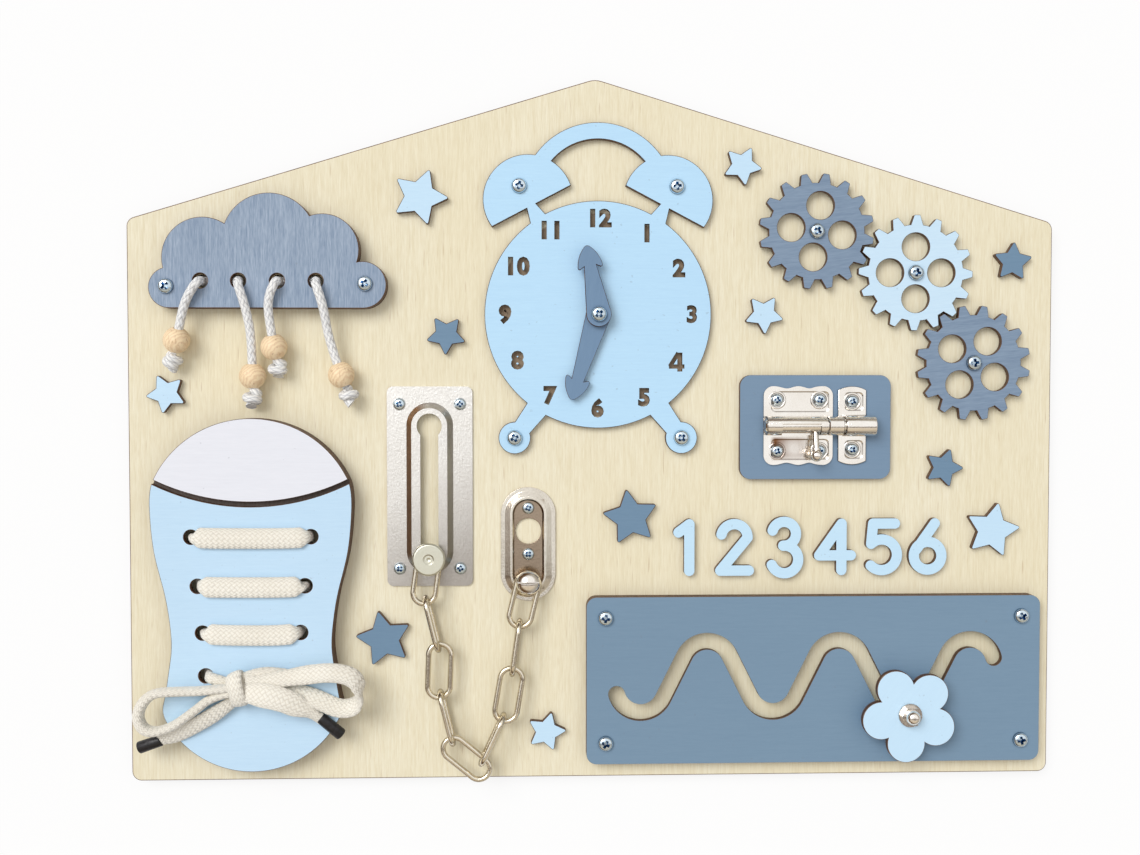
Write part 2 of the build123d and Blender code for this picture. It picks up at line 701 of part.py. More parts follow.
def latch_base():
    """Plate and barrel in one pressing; the barrel is open over the peg's travel."""
    w, h = LATCH_W / 2, LATCH_H / 2 - 0.4 - LATCH_CORNER_R
    x, y = LATCH
    sides = [Line((x + s * w, y - h), (x + s * w, y + h)) for s in (-1, 1)]
    outline = make_face([*wavy_edge(1), *wavy_edge(-1), *sides])
    base = plate(outline, PLY_TOP, SHEET)
    low, high = BARREL_X
    web = Pos((low + high) / 2, y, (LATCH_TOP + ROD_Z) / 2) * Box(high - low, 2 * BARREL_R, ROD_Z - LATCH_TOP)
    barrel = lengthwise(BARREL_X, BARREL_R) + web
    bore = lengthwise((low - 1, high + 1), ROD_D / 2 + FIT)
    left, right = WINDOW_X
    window = Pos((left + right) / 2, y - 10, ROD_Z + 8.6) * Box(right - left, 22.4, 20)
    base = base + (barrel - window) - bore
    return cut_holes(base, latch_screws(), SMALL_D + 2 * FIT)


def latch_rod():
    rod = lengthwise(ROD_X, ROD_D / 2)
    ends = rod.edges().filter_by(GeomType.CIRCLE)
    return chamfer(ends, 0.8)


def latch_peg():
    """Peg with its ball, hugging the rod; it swings round the rod's axis."""
    pin = Pos(0, 0, PEG_REACH / 2) * Cylinder(PEG_D / 2, PEG_REACH)
    collar = Pos(0, 0, PEG_REACH - PEG_BALL_D / 2) * Cylinder(PEG_BALL_D * 0.34, 1.2)
    peg = pin + collar + Pos(0, 0, PEG_REACH) * Sphere(PEG_BALL_D / 2)
    peg -= Cylinder(ROD_D / 2 + SEAT, 20, rotation=(0, 90, 0))
    return Pos(PEG_X, LATCH[1], ROD_Z) * Rot(90 - PEG_LIFT, 0, 0) * peg


def latch_keeper():
    x, width = KEEPER
    tall = KEEPER_H / 2
    bow = 2.0
    low, high = x - width / 2, x + width / 2
    y = LATCH[1]
    ends = [ThreePointArc((low, y + s * (tall - bow)), (x, y + s * tall), (high, y + s * (tall - bow)))
            for s in (-1, 1)]
    sides = [Line((e, y - tall + bow), (e, y + tall - bow)) for e in (low, high)]
    keeper = plate(make_face([*ends, *sides]), PLY_TOP, SHEET)
    left, right = KEEPER_LOOP_X
    inner = ROD_D / 2 + RUN
    outer = inner + SHEET
    web = Pos((left + right) / 2, y, (LATCH_TOP + ROD_Z) / 2) * Box(right - left, 2 * outer, ROD_Z - LATCH_TOP)
    loop = lengthwise(KEEPER_LOOP_X, outer) + web
    loop -= Pos(x, y, PLY_TOP - THROUGH / 2) * Box(2 * width, KEEPER_H, THROUGH)
    keeper = keeper + loop - lengthwise((left - 1, right + 1), inner)
    return cut_holes(keeper, keeper_screws(), SMALL_D + 2 * FIT)


# ---- door chain ---------------------------------------------------------------------

def slide_plate():
    """Pressed steel plate: a hollow raised rail with a slot that ends in a keyhole."""
    sheet = plate(Pos(*SLIDE) * RectangleRounded(SLIDE_W, SLIDE_H, SLIDE_R), FACE, SHEET)
    foot = racetrack(SLIDE[0], RAIL_END, RAIL_TOP, RAIL_W)
    rail = Pos(0, 0, FACE) * extrude(foot, amount=RAIL_RISE, taper=RAIL_SLOPE)
    inside = racetrack(SLIDE[0], RAIL_END + SHEET, RAIL_TOP - SHEET, RAIL_W - 2 * SHEET)
    hollow = Pos(0, 0, FACE) * extrude(inside, amount=RAIL_RISE - SHEET, taper=RAIL_SLOPE)
    slot = racetrack(SLIDE[0], KNOB_Y - SLOT_W / 2, KEYHOLE_Y + SLOT_W / 2, SLOT_W)
    slot += Pos(SLIDE[0], KEYHOLE_Y) * Circle(KEYHOLE_D / 2)
    solid = sheet + rail - hollow - plate(slot, FACE, RAIL_RISE)
    return cut_holes(solid, slide_screws(), SMALL_D + 2 * FIT)


def chain_knob():
    """Turned knob: a foot inside the rail, a waist in the slot and a neck for the first link."""
    foot_z = FACE + RUN
    waist_z = foot_z + KNOB_FOOT_T
    waist_top = RAIL_Z + 0.4
    foot = KNOB_FOOT_D / 2
    waist = SLOT_W / 2 - RUN
    neck = KNOB_NECK_D / 2
    head = KNOB_HEAD_D / 2
    top = HEAD_Z + KNOB_HEAD_T
    profile = Polyline(
        (0, foot_z), (foot, foot_z), (foot, waist_z), (waist, waist_z), (waist, waist_top), (neck, waist_top),
        (neck, HEAD_Z), (head, HEAD_Z), (head, top - 0.8), (head - 0.8, top), (3.0, top), (2.2, top - 0.5),
        (0, top - 0.5), close=True)
    knob = revolve(Plane.XZ * make_face(profile), Axis.Z)
    return Pos(SLIDE[0], KNOB_Y) * knob


def stud_plate():
    """Pressed oval dish with a raised rim, two screws and an open hole in its recess."""
    x, y = STUD_PLATE
    half = STUD_PLATE_H / 2
    outer = racetrack(x, y - half, y + half, STUD_PLATE_W)
    dish = Pos(0, 0, FACE) * extrude(outer, amount=STUD_RIM, taper=24)
    wall = (STUD_PLATE_W - STUD_RECESS_W) / 2
    floor = racetrack(x, y - half + wall, y + half - wall, STUD_RECESS_W)
    dish -= Pos(0, 0, SHEET_TOP) * extrude(floor, amount=STUD_RIM, taper=-38)
    dish -= hole(x, STUD_HOLE_Y, STUD_HOLE_D)
    return cut_holes(dish, stud_screws(), SMALL_D + 2 * FIT)


def chain_stud():
    """Domed stud on the oval plate; the last link hangs on its neck."""
    neck, head = KNOB_NECK_D / 2, STUD_D / 2
    rim = HEAD_Z + 0.8
    top = HEAD_Z + STUD_DOME
    profile = make_face([
        Polyline((0, top), (0, SHEET_TOP), (neck + 1, SHEET_TOP), (neck + 1, SHEET_TOP + 1), (neck, SHEET_TOP + 2),
                 (neck, HEAD_Z), (head, HEAD_Z), (head, rim)),
        dome_arc(head, rim, top),
    ])
    return Pos(STUD_PLATE[0], STUD_Y) * revolve(Plane.XZ * profile, Axis.Z)


def link(start, angle, standing):
    """A chain link: two half rings joined by straight wires.  start is the middle of one ring."""
    ring = (LINK_W - WIRE) / 2
    straight = LINK_L - LINK_W
    section = Pos(ring, 0) * Circle(WIRE / 2)
    bend = revolve(Plane.XZ * section, Axis.Z, 180)
    wires = [Pos(0, s * ring, 0) * extrude(Plane.YZ * Circle(WIRE / 2), amount=straight) for s in (-1, 1)]
    near = Rot(0, 0, 90) * bend
    far = Pos(straight, 0, 0) * Rot(0, 0, -90) * bend
    loop = near + far + wires[0] + wires[1]
    lean = 90 if standing else 0
    return Pos(*start, CHAIN_Z) * Rot(0, 0, angle) * Rot(lean, 0, 0) * loop


def link_places():
    """Where each link begins, from the stud to the knob: flat and standing links in turn."""
    inner = LINK_L - 2 * WIRE
    straight = LINK_L - LINK_W
    overlap = LINK_W - 2 * WIRE - LINK_GAP
    to_stud = inner - KNOB_NECK_D / 2 - (LINK_W / 2 - WIRE) - LINK_GAP
    x, y = STUD_PLATE[0], STUD_Y
    places = []
    for index, angle in enumerate(LINK_ANGLES):
        turn = math.radians(angle)
        ahead = (math.cos(turn), math.sin(turn))
        standing = index % 2 == 1
        skip = overlap if standing else 0
        if index == 0:
            skip = to_stud - straight
        places.append(((x + skip * ahead[0], y + skip * ahead[1]), angle, standing))
        reach = straight + 2 * overlap if standing else straight
        if index == 0:
            reach = to_stud
        x, y = x + reach * ahead[0], y + reach * ahead[1]
    return places


# ---- wave and flower ----------------------------------------------------------------

def wave_path():
    """The slot's centre line: round bends joined by straight flanks."""
    r = WAVE_BEND_R
    apart = math.hypot(WAVE_HALF, WAVE_RISE - 2 * r)
    slope = math.atan2(WAVE_RISE - 2 * r, WAVE_HALF) + math.asin(2 * r / apart)
    end = math.radians(WAVE_END_TURN)
    pieces = []
    last = None
    for bend in range(WAVE_BENDS):
        crest = bend % 2 == 1
        side = -1 if crest else 1
        x = WAVE_X + bend * WAVE_HALF
        y = WAVE_TROUGH_Y + (WAVE_RISE - r if crest else r)

        def spot(turn, x=x, y=y, side=side):
            return (x + r * math.sin(turn), y - side * r * math.cos(turn))

        start = spot(-end if bend == 0 else -slope)
        stop = spot(end if bend == WAVE_BENDS - 1 else slope)
        if last:
            pieces.append(Line(last, start))
        pieces.append(ThreePointArc(start, spot(0), stop))
        last = stop
    return Wire([piece.edge() for piece in pieces])


def wave_slot(width):
    return make_face(wave_path().offset_2d(width / 2, kind=Kind.ARC, side=Side.BOTH, closed=True))


def wave_layer(low, thickness, slot_width):
    outline = Pos(*WAVE) * RectangleRounded(WAVE_W, WAVE_H, WAVE_R)
    layer = plate(outline, low, thickness) - plate(wave_slot(slot_width), low, thickness)
    return cut_holes(layer, wave_screws(), SCREW_D + 2 * FIT)


def wave_panel():
    return wave_layer(FACE + WAVE_LIFT, PLY, WAVE_SLOT_W)


def wave_spacer():
    return wave_layer(FACE, WAVE_LIFT, RUNNER_D + 2 * RUN + 0.6)


def flower_place():
    return WAVE_X + 2 * FLOWER_TROUGH * WAVE_HALF, WAVE_TROUGH_Y


def flower_bolt():
    """Bolt whose wide flat head runs under the panel."""
    low = FACE + RUN
    length = FLOWER_TOP + NUT_H * 0.6 - low
    head = Pos(0, 0, RUNNER_T / 2) * Cylinder(RUNNER_D / 2, RUNNER_T)
    shank = Pos(0, 0, length / 2) * Cylinder(BOLT_D / 2, length)
    return Pos(*flower_place(), low) * (head + shank)


def flower_sleeve():
    """Tube that guides the bolt in the slot and carries the flower."""
    low = FACE + RUN + RUNNER_T + SEAT
    length = FLOWER_BASE - RUN - low
    ring = Cylinder(SLEEVE_D / 2, length) - Cylinder(BOLT_D / 2 + SEAT, length)
    return Pos(*flower_place(), low + length / 2) * ring


def flower():
    outline = Circle(PETAL_AT)
    for spot in PolarLocations(PETAL_AT, 5, start_angle=PETAL_PHASE):
        outline += spot * Circle(PETAL_R)
    outline -= Circle(BOLT_D / 2 + FIT)
    return Pos(*flower_place(), FLOWER_BASE) * extrude(outline, amount=PLY)


def flower_nut():
    """Acorn nut with its washer face."""
    low = FLOWER_TOP + RUN
    hexagon = extrude(RegularPolygon(NUT_D / 2, 6, major_radius=False), amount=NUT_H * 0.5)
    dome = Pos(0, 0, NUT_H * 0.5) * extrude(Circle(NUT_D * 0.42), amount=NUT_H * 0.5)
    dome = fillet(dome.edges().sort_by(Axis.Z)[-1:], NUT_D * 0.36)
    flange = Pos(0, 0, 0.5) * Cylinder(NUT_D * 0.68, 1.0)
    bore = Pos(0, 0, NUT_H * 0.32) * Cylinder(BOLT_D / 2 + SEAT, NUT_H * 0.64)
    return Pos(*flower_place(), low) * (hexagon + dome + flange - bore)


# ---- stars and numerals -------------------------------------------------------------

def star(x, y, radius, phase):
    points = []
    for corner in range(10):
        reach = radius if corner % 2 == 0 else radius * STAR_INNER
        turn = math.radians(phase + 36 * corner)
        points.append((x + reach * math.cos(turn), y + reach * math.sin(turn)))
    outline = Polygon(*points, align=None)
    tips = [v for v in outline.vertices() if math.hypot(v.X - x, v.Y - y) > radius * 0.8]
    return plate(fillet(tips, STAR_ROUND), FACE, PLY)


def numeral_paths():
    """Centre lines of the six numerals, from y = -h to y = h."""
    h = (NUMERAL_H - NUMERAL_STROKE) / 2
    r = h / 2
    return (
        [Polyline((-4.4, h - 4.4), (1.5, h), (1.5, -h))],
        [ThreePointArc((-7.0, h - 5.6), (0.4, h), (7.2, h - 7.4)), Line((7.2, h - 7.4), (-7.6, -h)),
         Line((-7.6, -h), (8.0, -h))],
        [ThreePointArc((-6.6, h - 3.6), (r - 0.4, h - 3.6), (-0.8, 0.8)),
         ThreePointArc((-0.8, 0.8), (r + 1.0, -r - 1.8), (-7.0, -h + 3.0))],
        [Polyline((3.6, -h), (3.6, h), (-8.6, -4.6), (8.8, -4.6))],
        [Polyline((6.4, h), (-5.6, h), (-6.6, 1.6)), ThreePointArc((-6.6, 1.6), (7.6, -4.4), (-6.8, -h + 2.4))],
        [Line((3.8, h), (-6.4, -1.8)), Pos(0, -h + 7.6) * CenterArc((0, 0), 7.6, 0, 360)],
    )


def numeral(paths, x):
    """A numeral cut as one stroke with round ends."""
    outline = Sketch()
    for path in paths:
        for edge in path.edges():
            if edge.is_closed:
                radius = edge.radius
                middle = edge.arc_center
                ring = Circle(radius + NUMERAL_STROKE / 2) - Circle(radius - NUMERAL_STROKE / 2)
                outline += Pos(middle.X, middle.Y) * ring
                continue
            stroke = Wire([edge]).offset_2d(NUMERAL_STROKE / 2, kind=Kind.ARC, side=Side.BOTH, closed=True)
            outline += Face(stroke)
    return Pos(x, NUMERAL_Y, 0) * plate(outline, FACE, PLY)


# ---- write every piece --------------------------------------------------------------

os.makedirs("parts", exist_ok=True)

save("back_board", back_board())
save("cloud_plate", cloud_plate())
save("cloud_spacer", cloud_spacer())
save("pull_cord_left", tube(cord_route(0), CORD_D))
save("pull_cord_right", tube(cord_route(2), CORD_D))
save("wooden_beads", wooden_beads())
save("cord_knots", cord_knots())

save("shoe_toe_cap", shoe_toe_cap())
save("shoe_plate", shoe_plate())
save("shoe_spacer", shoe_spacer())
save("shoe_lace", tube(lace_route(), LACE_D))
save("lace_loop_left", tube(bow_left_loop(), LACE_D))
save("lace_loop_right", tube(bow_right_loop(), LACE_D))
save("lace_tail_left", tube(bow_left_tail(), LACE_D))
save("lace_tail_right", tube(bow_right_tail(), LACE_D))
save("lace_knot", lace_knot())
save("lace_aglets", group([aglet(bow_left_tail()), aglet(bow_right_tail())]))

save("clock_face", clock_face())
save("minute_hand", hand(MINUTE_L, MINUTE_Z, MINUTE_ANGLE))
save("hour_hand", hand(HOUR_L, HOUR_Z, HOUR_ANGLE))
save("pivot_washers", pivot_washers())
save("pivot_screws", pivot_screws())

for number in range(3):
    save(f"gear_{number + 1}", gear(number))

save("latch_panel", latch_panel())
save("latch_base", latch_base())
save("latch_rod", latch_rod())
save("latch_peg", latch_peg())
save("latch_keeper", latch_keeper())

save("slide_plate", slide_plate())
save("chain_knob", chain_knob())
save("stud_plate", stud_plate())
save("chain_stud", chain_stud())
for number, (start, angle, standing) in enumerate(link_places()):
    save(f"chain_link_{number + 1}", link(start, angle, standing))

save("wave_panel", wave_panel())
save("wave_spacer", wave_spacer())
save("flower_bolt", flower_bolt())
save("flower_sleeve", flower_sleeve())
save("flower", flower())
save("flower_nut", flower_nut())

save("panel_screws", group(
    [wood_screw(x, y, CLOUD_TOP) for x, y in CLOUD_SCREWS]
    + [wood_screw(x, y, PLY_TOP) for x, y in clock_screws()]
    + [wood_screw(x, y, WAVE_TOP) for x, y in wave_screws()]))
save("fitting_screws", group(
    [small_screw(x, y, SHEET_TOP) for x, y in slide_screws() + stud_screws()]
    + [small_screw(x, y, LATCH_TOP) for x, y in latch_screws() + keeper_screws()]))

save("blue_stars", group(star(*s) for s in BLUE_STARS))
save("grey_stars", group(star(*s) for s in GREY_STARS))
save("numerals", group(numeral(p, x) for p, x in zip(numeral_paths(), NUMERAL_XS)))
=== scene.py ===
import bpy, bmesh, math
from mathutils import Matrix, Vector


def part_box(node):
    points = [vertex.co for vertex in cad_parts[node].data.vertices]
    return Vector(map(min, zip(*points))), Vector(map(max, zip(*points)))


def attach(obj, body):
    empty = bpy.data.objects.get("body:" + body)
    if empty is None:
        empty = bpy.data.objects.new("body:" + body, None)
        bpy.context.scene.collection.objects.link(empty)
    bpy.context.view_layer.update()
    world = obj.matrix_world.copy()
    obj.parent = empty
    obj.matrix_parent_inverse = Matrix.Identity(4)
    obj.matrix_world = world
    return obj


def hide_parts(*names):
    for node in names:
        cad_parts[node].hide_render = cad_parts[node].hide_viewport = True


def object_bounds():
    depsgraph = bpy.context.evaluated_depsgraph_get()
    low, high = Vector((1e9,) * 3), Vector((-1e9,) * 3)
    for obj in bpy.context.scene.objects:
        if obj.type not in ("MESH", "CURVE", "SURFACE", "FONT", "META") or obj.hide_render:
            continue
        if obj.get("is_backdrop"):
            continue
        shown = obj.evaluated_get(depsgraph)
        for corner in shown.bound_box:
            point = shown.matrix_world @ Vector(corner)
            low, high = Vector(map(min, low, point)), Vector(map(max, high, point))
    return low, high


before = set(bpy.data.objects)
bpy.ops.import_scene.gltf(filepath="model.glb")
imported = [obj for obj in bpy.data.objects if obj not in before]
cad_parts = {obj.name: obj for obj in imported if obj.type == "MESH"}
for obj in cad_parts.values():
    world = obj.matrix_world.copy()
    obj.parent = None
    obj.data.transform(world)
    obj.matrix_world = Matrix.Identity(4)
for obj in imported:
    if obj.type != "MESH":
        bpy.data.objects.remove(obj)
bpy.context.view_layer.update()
MM = 0.001

# ---- Camera, soft light and the pale floor --------------
# The busy board lies on its back on a white studio table.  The camera hangs above it,
# a little left of its middle, and a broad soft lamp stands to the upper left.
PICTURE_WIDE, FOCAL_LENGTH = 1140, 1277  # in pixels
WHITE = (1, 1, 1, 1)
scene = bpy.context.scene
scene.view_settings.view_transform = "Standard"

lens = bpy.data.cameras.new("camera")
lens.sensor_width = 36.0
lens.lens = lens.sensor_width * FOCAL_LENGTH / PICTURE_WIDE
lens.clip_start, lens.clip_end = 0.02, 20
camera = bpy.data.objects.new("camera", lens)
camera.location = (-0.0373, 0.0231, 0.700)
camera.rotation_euler = [math.radians(a) for a in (-1.76, -1.97, -0.01)]
scene.collection.objects.link(camera)
scene.camera = camera


def tint(red, green, blue):
    """A paint colour, mixed from 0-255 shades."""
    shades = [v / 255 for v in (red, green, blue)]
    return (*[v / 12.92 if v <= 0.04045 else ((v + 0.055) / 1.055) ** 2.4 for v in shades], 1.0)


def feed(tree, socket, value):
    """Joins a socket to what feeds it, or sets its plain value."""
    if isinstance(value, bpy.types.NodeSocket):
        tree.links.new(value, socket)
    else:
        socket.default_value = value


def put(tree, kind, inputs=None, **settings):
    """Adds one node, sets it up and feeds its inputs."""
    made = tree.nodes.new("ShaderNode" + kind)
    for name, value in settings.items():
        setattr(made, name, value)
    for key, value in (inputs or {}).items():
        feed(tree, made.inputs[key], value)
    return made


def blend_colour(tree, amount, first, second):
    """Mixes two colours, each a socket or 0-255 shades."""
    first, second = [tint(*v) if isinstance(v, tuple) else v for v in (first, second)]
    return put(tree, "Mix", {0: amount, 6: first, 7: second}, data_type="RGBA").outputs[2]


def spread(tree, value, low, high, out_low=0.0, out_high=1.0):
    """Stretches a value from one range to another, held at both ends."""
    ranges = {"From Min": low, "From Max": high, "To Min": out_low, "To Max": out_high}
    return put(tree, "MapRange", {"Value": value, **ranges}).outputs[0]


def sums(tree, operation, first, second=0.0):
    return put(tree, "Math", {0: first, 1: second}, operation=operation).outputs[0]


def times(tree, first, second):
    return sums(tree, "MULTIPLY", first, second)


def away_from(tree, value, middle):
    """How far a value is from a middle one."""
    return sums(tree, "ABSOLUTE", sums(tree, "SUBTRACT", value, middle))


def new_finish(name):
    """An empty material and its shader."""
    finish = bpy.data.materials.new(name)
    finish.use_nodes = True
    return finish, finish.node_tree, finish.node_tree.nodes["Principled BSDF"]


def as_mesh(shape, name):
    """Writes a shape to a mesh and frees it."""
    mesh = bpy.data.meshes.new(name)
    shape.to_mesh(mesh)
    shape.free()
    return mesh


# Dull things see a soft grey ramp.  Shiny ones mirror a room: a warm ceiling with a dark beam
# across it, a brown left side, a grey right side and a dark horizon.
sky = bpy.data.worlds.new("studio")
sky.use_nodes = True
scene.world = sky
tree = sky.node_tree
towards = put(tree, "SeparateXYZ", {"Vector": put(tree, "TexCoord").outputs["Generated"]}).outputs
walls = put(tree, "ValToRGB", {"Fac": towards["Z"]})
ramp = walls.color_ramp
ramp.elements[0].position, ramp.elements[0].color = 0.0, tint(178, 172, 168)
ramp.elements[1].position, ramp.elements[1].color = 1.0, WHITE
for spot, shade in ((0.30, (120, 108, 98)), (0.52, (196, 190, 184)), (0.72, (236, 234, 232))):
    ramp.elements.new(spot).color = tint(*shade)
ceiling = blend_colour(tree, spread(tree, towards["Y"], -0.12, -0.5), (255, 255, 255), (216, 202, 180))
beam = spread(tree, away_from(tree, towards["Y"], -0.25), 0.10, 0.05, 0.0, 0.85)
ceiling = blend_colour(tree, beam, ceiling, (84, 64, 48))
sides = blend_colour(tree, spread(tree, towards["X"], -0.15, 0.45), (100, 74, 50), (178, 172, 160))
sides = blend_colour(tree, spread(tree, towards["Z"], 0.12, 0.02), sides, (44, 34, 28))
mirrored = blend_colour(tree, spread(tree, towards["Z"], 0.40, 0.58), sides, ceiling)
glossy = put(tree, "LightPath").outputs["Is Glossy Ray"]
background = tree.nodes["Background"].inputs
feed(tree, background["Color"], blend_colour(tree, glossy, walls.outputs["Color"], mirrored))
feed(tree, background["Strength"], spread(tree, glossy, 0, 1, 0.84, 1.0))

lamp = bpy.data.lights.new("soft_lamp", "SUN")
lamp.energy = 1.66
lamp.angle = math.radians(34)
sun = bpy.data.objects.new("soft_lamp", lamp)
sun.rotation_euler = (math.radians(-24), math.radians(-30), 0)
scene.collection.objects.link(sun)

sheet = bmesh.new()
bmesh.ops.create_grid(sheet, x_segments=1, y_segments=1, size=2.5)
floor = bpy.data.objects.new("floor", as_mesh(sheet, "floor"))
scene.collection.objects.link(floor)
table_top, tree, shader = new_finish("pale_table")
shader.inputs["Base Color"].default_value = (0.92, 0.92, 0.92, 1)
shader.inputs["Roughness"].default_value = 0.9
rays = put(tree, "LightPath").outputs
seen = sums(tree, "MAXIMUM", rays["Is Camera Ray"],
            sums(tree, "MAXIMUM", rays["Is Glossy Ray"], rays["Is Transmission Ray"]))
glow = put(tree, "Emission", {"Color": WHITE, "Strength": 1.0}).outputs[0]
both = put(tree, "MixShader", {0: times(tree, seen, 0.82), 1: shader.outputs[0], 2: glow}).outputs[0]
feed(tree, tree.nodes["Material Output"].inputs["Surface"], both)
floor.data.materials.append(table_top)
floor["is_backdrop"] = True


# ---- House-shaped board ---------------------------------
# One sheet of birch plywood, 9 mm thick and sanded smooth, with rounded corners.  Its faces
# are bare birch with an upright grain, and its laser-cut rim shows the browned plies.
FACE = 9.0
DIAL_MIDDLE = (1.5, 62.6)
DIAL_SHADE_REACH = 54.5  # how far the painted shade reaches round the dial's middle
LAYER = 2.6  # one light and one dark ply


def new_effect(name, inputs, outputs):
    """A shared effect, with its named inputs and outputs."""
    effect = bpy.data.node_groups.new(name, "ShaderNodeTree")
    for label, kind, value in inputs:
        socket = effect.interface.new_socket(name=label, in_out="INPUT", socket_type="NodeSocket" + kind)
        socket.default_value = value
    for label, kind in outputs:
        effect.interface.new_socket(name=label, in_out="OUTPUT", socket_type="NodeSocket" + kind)
    return effect, effect.nodes.new("NodeGroupInput").outputs, effect.nodes.new("NodeGroupOutput").inputs


def use_effect(tree, effect, inputs=None):
    return put(tree, "Group", inputs, node_tree=effect).outputs


def place_in(tree):
    """Where a spot lies on the piece, in metres."""
    return put(tree, "TexCoord").outputs["Object"]


def axes_in(tree):
    return put(tree, "SeparateXYZ", {"Vector": place_in(tree)}).outputs


def stretched_noise(tree, place, scale, detail, rough=0.55):
    """Noise with its own scale along each axis: how often it repeats in a metre."""
    drawn = put(tree, "Mapping", {"Vector": place, "Scale": scale}).outputs[0]
    settings = {"Scale": 1.0, "Detail": detail, "Roughness": rough}
    return put(tree, "TexNoise", {"Vector": drawn, **settings}).outputs[0]


def even_noise(tree, place, scale, detail):
    return put(tree, "TexNoise", {"Vector": place, "Scale": scale, "Detail": detail}).outputs[0]


def dress(tree, shader, colour, roughness, height, deep, strength=0.5):
    """Feeds a shader its colour, its roughness and the relief of its skin."""
    feed(tree, shader.inputs["Base Color"], colour)
    feed(tree, shader.inputs["Roughness"], roughness)
    relief = put(tree, "Bump", {"Height": height, "Distance": deep, "Strength": strength})
    feed(tree, shader.inputs["Normal"], relief.outputs[0])


wood_grain, given, gives = new_effect("wood_grain", [("Place", "Vector", (0, 0, 0))],
                                      [("Streaks", "Float"), ("Flecks", "Float"), ("Clouds", "Float")])
lines = stretched_noise(wood_grain, given["Place"], (780, 34, 240), 3)
threads = stretched_noise(wood_grain, given["Place"], (1700, 150, 700), 2)
fibres = sums(wood_grain, "ADD", times(wood_grain, lines, 0.5), times(wood_grain, threads, 0.5))
feed(wood_grain, gives["Streaks"], spread(wood_grain, fibres, 0.36, 0.64))
pores = stretched_noise(wood_grain, given["Place"], (900, 60, 300), 1)
feed(wood_grain, gives["Flecks"], spread(wood_grain, pores, 0.70, 0.80))
clouds = stretched_noise(wood_grain, given["Place"], (13, 5, 9), 3)
feed(wood_grain, gives["Clouds"], spread(wood_grain, clouds, 0.3, 0.7))

cut_rim, given, gives = new_effect(
    "cut_rim", [("Burnt", "Color", tint(66, 40, 28)), ("Ply", "Color", tint(128, 92, 62))],
    [("Wall", "Float"), ("Colour", "Color")])
outward = put(cut_rim, "SeparateXYZ", {"Vector": put(cut_rim, "TexCoord").outputs["Normal"]}).outputs
feed(cut_rim, gives["Wall"], spread(cut_rim, sums(cut_rim, "ABSOLUTE", outward["Z"]), 0.97, 0.80))
layers = sums(cut_rim, "SINE", times(cut_rim, axes_in(cut_rim)["Z"], 2 * math.pi / (LAYER * MM)))
smoke = stretched_noise(cut_rim, place_in(cut_rim), (160, 160, 700), 3)
burn_and_painted_reflection = spread(cut_rim, sums(cut_rim, "ADD", times(cut_rim, layers, 0.16), smoke), 0.35, 0.85)
feed(cut_rim, gives["Colour"], blend_colour(cut_rim, burn_and_painted_reflection, given["Burnt"], given["Ply"]))


def bare_birch(name, pale, golden, streak, rim_burnt, rim_ply):
    """Sanded birch: pale wood, golden streaks, brown flecks, a cut rim, and painted shade behind the dial
    where the numeral holes show the board.
    """
    finish, tree, shader = new_finish(name)
    place = place_in(tree)
    grain = use_effect(tree, wood_grain, {"Place": place})
    rim = use_effect(tree, cut_rim, {"Burnt": tint(*rim_burnt), "Ply": tint(*rim_ply)})
    colour = blend_colour(tree, grain["Clouds"], pale, golden)
    colour = blend_colour(tree, times(tree, grain["Streaks"], 0.62), colour, streak)
    colour = blend_colour(tree, times(tree, grain["Flecks"], 0.35), colour, (176, 140, 98))
    # The board behind the dial is painted darker brown: painted shade, seen inside the numeral holes.
    middle = [v * MM for v in (*DIAL_MIDDLE, FACE)]
    off_dial = put(tree, "VectorMath", {0: place, 1: middle}, operation="DISTANCE").outputs["Value"]
    dial_hole_shade = spread(tree, off_dial, (DIAL_SHADE_REACH + 1) * MM, DIAL_SHADE_REACH * MM, 0.0, 0.8)
    colour = blend_colour(tree, dial_hole_shade, colour, (128, 98, 72))
    colour = blend_colour(tree, rim["Wall"], colour, rim["Colour"])
    dress(tree, shader, colour, spread(tree, grain["Streaks"], 0, 1, 0.50, 0.66), grain["Streaks"], 0.00008)
    return finish


def carry(node, finish):
    """Gives a carried-over CAD node its finish."""
    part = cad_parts[node]
    if not part.material_slots:
        part.data.materials.append(finish)
    for holder in part.material_slots:
        holder.material = finish


def join_flat(shape):
    """Welds a shape and joins its flat triangles into whole faces."""
    bmesh.ops.remove_doubles(shape, verts=shape.verts, dist=2e-6)
    bmesh.ops.dissolve_limit(shape, angle_limit=math.radians(0.6), verts=shape.verts, edges=shape.edges)
    return shape


def cad_copy(node):
    """A joined-up copy of a CAD node's mesh."""
    shape = bmesh.new()
    shape.from_mesh(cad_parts[node].data)
    return join_flat(shape)


def bevel(shape, edges, width, steps, clamp=True):
    bmesh.ops.bevel(shape, geom=edges, offset=width * MM, offset_type="OFFSET", affect="EDGES",
                    segments=steps, profile=0.5, material=-1, clamp_overlap=clamp)


def singe_rims(shape, width=0.3, clamp=True):
    """Bevels the rims between the flat faces and the cut walls, where the laser leaves its brown line."""
    shape.normal_update()
    rims = []
    for edge in shape.edges:
        slopes = sorted(abs(face.normal.z) for face in edge.link_faces)
        if len(slopes) == 2 and slopes[0] < 0.3 and slopes[1] > 0.9:
            rims.append(edge)
    bevel(shape, rims, width, 1, clamp)
    return shape


